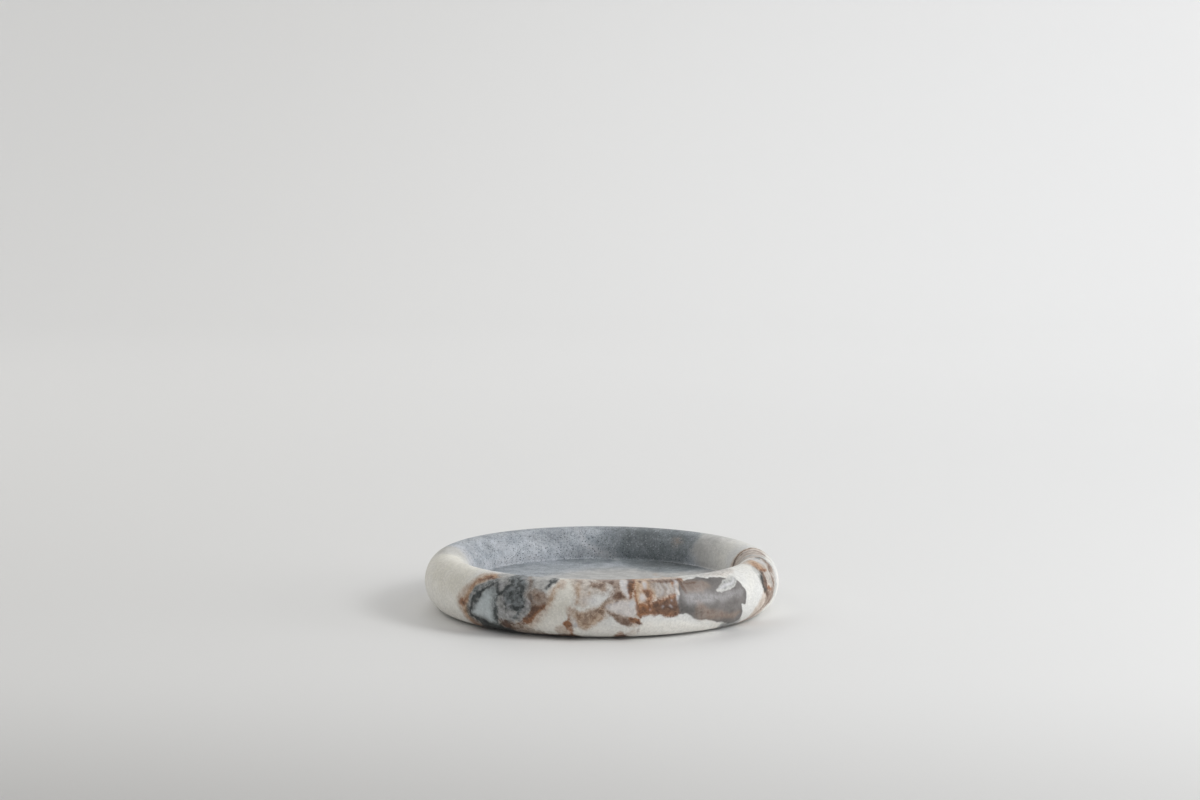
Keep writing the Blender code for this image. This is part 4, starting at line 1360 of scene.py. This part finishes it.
# %% [markdown]
# The board's colour carries painted light and shade. It is painted a little lighter towards the
# window side and darker towards the front edge, where the light falls off, and behind the tray
# a soft glow keeps the backdrop pale. The glow is seen by the camera and in reflections but
# lights nothing, so the tray's own light stays. Right under the lamps, outside the picture, the
# board is painted darker as painted shade, or it would burn out to pure white when the tray is
# looked at from its left.

# %% Finish of the board, with painted light and shade
# The tones are painted light and shade: lighter towards the window, darker at the front and under the
# lamps.
FRONT_PAINTED_SHADE_TONE = colour(0.512, 0.503, 0.489)
LEFT_PAINTED_SHADE_TONE = colour(0.762, 0.756, 0.742)
RIGHT_PAINTED_LIGHT_TONE = colour(0.812, 0.812, 0.81)
LAMP_SIDE_PAINTED_SHADE_TONE = colour(0.42, 0.42, 0.418)
ACROSS = (-0.5, 0.6)  # all places on the board are in metres
FRONT = (-0.16, -0.60)
FRONT_ON_THE_RIGHT = 0.35
PICTURE_WIDENS = 0.2
BESIDE_PICTURE = (0.38, 0.80)
LEVEL_WITH_LAMPS = (1.1, 0.5)
BOARD_ROUGHNESS = 0.6
BOARD_SPECULAR = 0.2

board, board_tree, board_shader = new_material("pale_board")
board_place = add(board_tree, "ShaderNodeTexCoord").outputs["Object"]
board_axes = add(board_tree, "ShaderNodeSeparateXYZ", {0: board_place}).outputs
# Painted light: the board is painted lighter towards the window side.
painted_light_across_board = grade(board_tree, board_axes[0], *ACROSS)
board_colour = blend(board_tree, painted_light_across_board, LEFT_PAINTED_SHADE_TONE, RIGHT_PAINTED_LIGHT_TONE)
# Painted shade: darker towards the front edge, where the light falls off.
painted_front_shade = grade(board_tree, board_axes[1], *FRONT)
front_share = grade(board_tree, painted_light_across_board, 0.0, 1.0, 1.0, FRONT_ON_THE_RIGHT)
painted_front_shade = calculate(board_tree, "MULTIPLY", painted_front_shade, front_share)
board_colour = blend(board_tree, painted_front_shade, board_colour, FRONT_PAINTED_SHADE_TONE)
# Painted shade under the lamps, outside the picture.
beside_picture = calculate(
    board_tree, "MULTIPLY_ADD", board_axes[1], -PICTURE_WIDENS, board_axes[0]
)
painted_lamp_side_shade = grade(board_tree, beside_picture, *BESIDE_PICTURE)
level_with_lamps = grade(board_tree, board_axes[1], *LEVEL_WITH_LAMPS)
painted_lamp_side_shade = calculate(board_tree, "MULTIPLY", painted_lamp_side_shade, level_with_lamps)
board_colour = blend(board_tree, painted_lamp_side_shade, board_colour, LAMP_SIDE_PAINTED_SHADE_TONE)
board_tree.links.new(board_colour, board_shader.inputs["Base Color"])
board_shader.inputs["Roughness"].default_value = BOARD_ROUGHNESS
board_shader.inputs["Specular IOR Level"].default_value = BOARD_SPECULAR
print(len(board_tree.nodes), "nodes in the board so far")

# %% Glow of the backdrop
GLOW_COLOUR = colour(0.985, 0.99, 1.0)
GLOW_GROWS_BACK = (-0.3, 1.7)
GLOW_IN_THE_MIDDLE = 0.168
GLOW_SIDEWAYS = 0.112
GLOW_LIMIT = 0.34
GLOW_UPWARDS = 0.2
GLOW_UP_LIMIT = 1.3

seen_by = add(board_tree, "ShaderNodeLightPath").outputs
seen = calculate(board_tree, "ADD", seen_by["Is Camera Ray"], seen_by["Is Glossy Ray"])
seen = calculate(board_tree, "ADD", seen, seen_by["Is Transmission Ray"])
glow_back = grade(board_tree, board_axes[1], *GLOW_GROWS_BACK)
sideways = calculate(board_tree, "MULTIPLY_ADD", board_axes[0], board_axes[0], board_axes[0])
glow_side = calculate(board_tree, "MULTIPLY_ADD", sideways, GLOW_SIDEWAYS, GLOW_IN_THE_MIDDLE)
glow_side = calculate(board_tree, "MINIMUM", glow_side, GLOW_LIMIT)
glow_up = calculate(board_tree, "MULTIPLY_ADD", board_axes[2], GLOW_UPWARDS, 1.0)
glow_up = calculate(board_tree, "MINIMUM", glow_up, GLOW_UP_LIMIT)
glow = calculate(board_tree, "MULTIPLY", glow_back, glow_side)
glow = calculate(board_tree, "MULTIPLY", glow, glow_up)
glow = calculate(board_tree, "MULTIPLY", glow, seen)
board_shader.inputs["Emission Color"].default_value = GLOW_COLOUR
board_tree.links.new(glow, board_shader.inputs["Emission Strength"])
sweep_mesh.materials.append(board)
print(len(board_tree.nodes), "nodes in the board")

# %% [markdown]
# ## Light
#
# The main light is a soft one on the right, as high as a window in the afternoon. A low one
# beside it reaches under the rim, a weak one from behind lifts the crown, and a broad one on
# the left keeps the shadow side open. The bright room all round does the rest: it is why the
# shadow under the front of the tray is only a thin line. All lamps are tinted a trace, cool
# from the window and warm from the room.

# %% Lamps and surrounding light
COOL_LIGHT = (0.985, 0.995, 1.0)
WARM_LIGHT = (1.0, 0.99, 0.965)
LAMPS = {  # place and width in metres, watts, tint
    "window": ((1.4, -0.55, 1.0), 0.6, 11.6, COOL_LIGHT),
    "window_top": ((1.2, -0.1, 1.25), 0.8, 3.4, COOL_LIGHT),
    "window_sill": ((1.6, -0.35, 0.35), 0.6, 6.8, COOL_LIGHT),
    "behind": ((0.0, 1.6, 1.3), 1.2, 4.4, COOL_LIGHT),
    "room": ((-1.3, 0.3, 1.4), 1.4, 6.8, WARM_LIGHT),
}
for name, (position, size, watts, tint) in LAMPS.items():
    lamp_data = bpy.data.lights.new(name, "AREA")
    lamp_data.shape = "DISK"
    lamp_data.size = size
    lamp_data.energy = watts
    lamp_data.color = tint
    lamp = bpy.data.objects.new(name, lamp_data)
    lamp.location = position
    lamp.rotation_euler = (-Vector(position)).to_track_quat("-Z", "Y").to_euler()
    bpy.context.scene.collection.objects.link(lamp)

WORLD_STRENGTH = 0.385

world = bpy.data.worlds.new("soft_room")
world.use_nodes = True
world.node_tree.nodes["Background"].inputs["Strength"].default_value = WORLD_STRENGTH
world.node_tree.nodes["Background"].inputs["Color"].default_value = colour(1.0, 1.0, 1.0)
bpy.context.scene.world = world
print(len(LAMPS), "lamps, and a room of strength", WORLD_STRENGTH)

# %% [markdown]
# ## Camera
#
# The photograph was taken from nearly two metres away with a short telephoto lens, a little
# above the table. The place and the lens were worked out from the ovals that the rim makes in
# the picture.

# %% Camera
CAMERA_PLACE = (0.0, -1.7673, 0.3415)
CAMERA_LENS_MM = 95.03
CAMERA_SENSOR_MM = 36
LOOKS_DOWN_DEGREES = 7.190
LOOKS_LEFT_DEGREES = 0.0461
ROLL_DEGREES = 0.2417

camera_data = bpy.data.cameras.new("camera")
camera_data.lens = CAMERA_LENS_MM
camera_data.sensor_width = CAMERA_SENSOR_MM
camera = bpy.data.objects.new("camera", camera_data)
aim = (
    Matrix.Rotation(math.radians(LOOKS_LEFT_DEGREES), 4, "Z")
    @ Matrix.Rotation(math.radians(90 - LOOKS_DOWN_DEGREES), 4, "X")
    @ Matrix.Rotation(math.radians(ROLL_DEGREES), 4, "Z")
)
camera.matrix_world = Matrix.Translation(CAMERA_PLACE) @ aim
bpy.context.scene.collection.objects.link(camera)
bpy.context.scene.camera = camera
bpy.context.scene.view_settings.view_transform = "Standard"
print(f"camera {math.dist(CAMERA_PLACE, (0, 0, 0)):.2f} m from the tray, {camera_data.lens:.0f} mm lens")
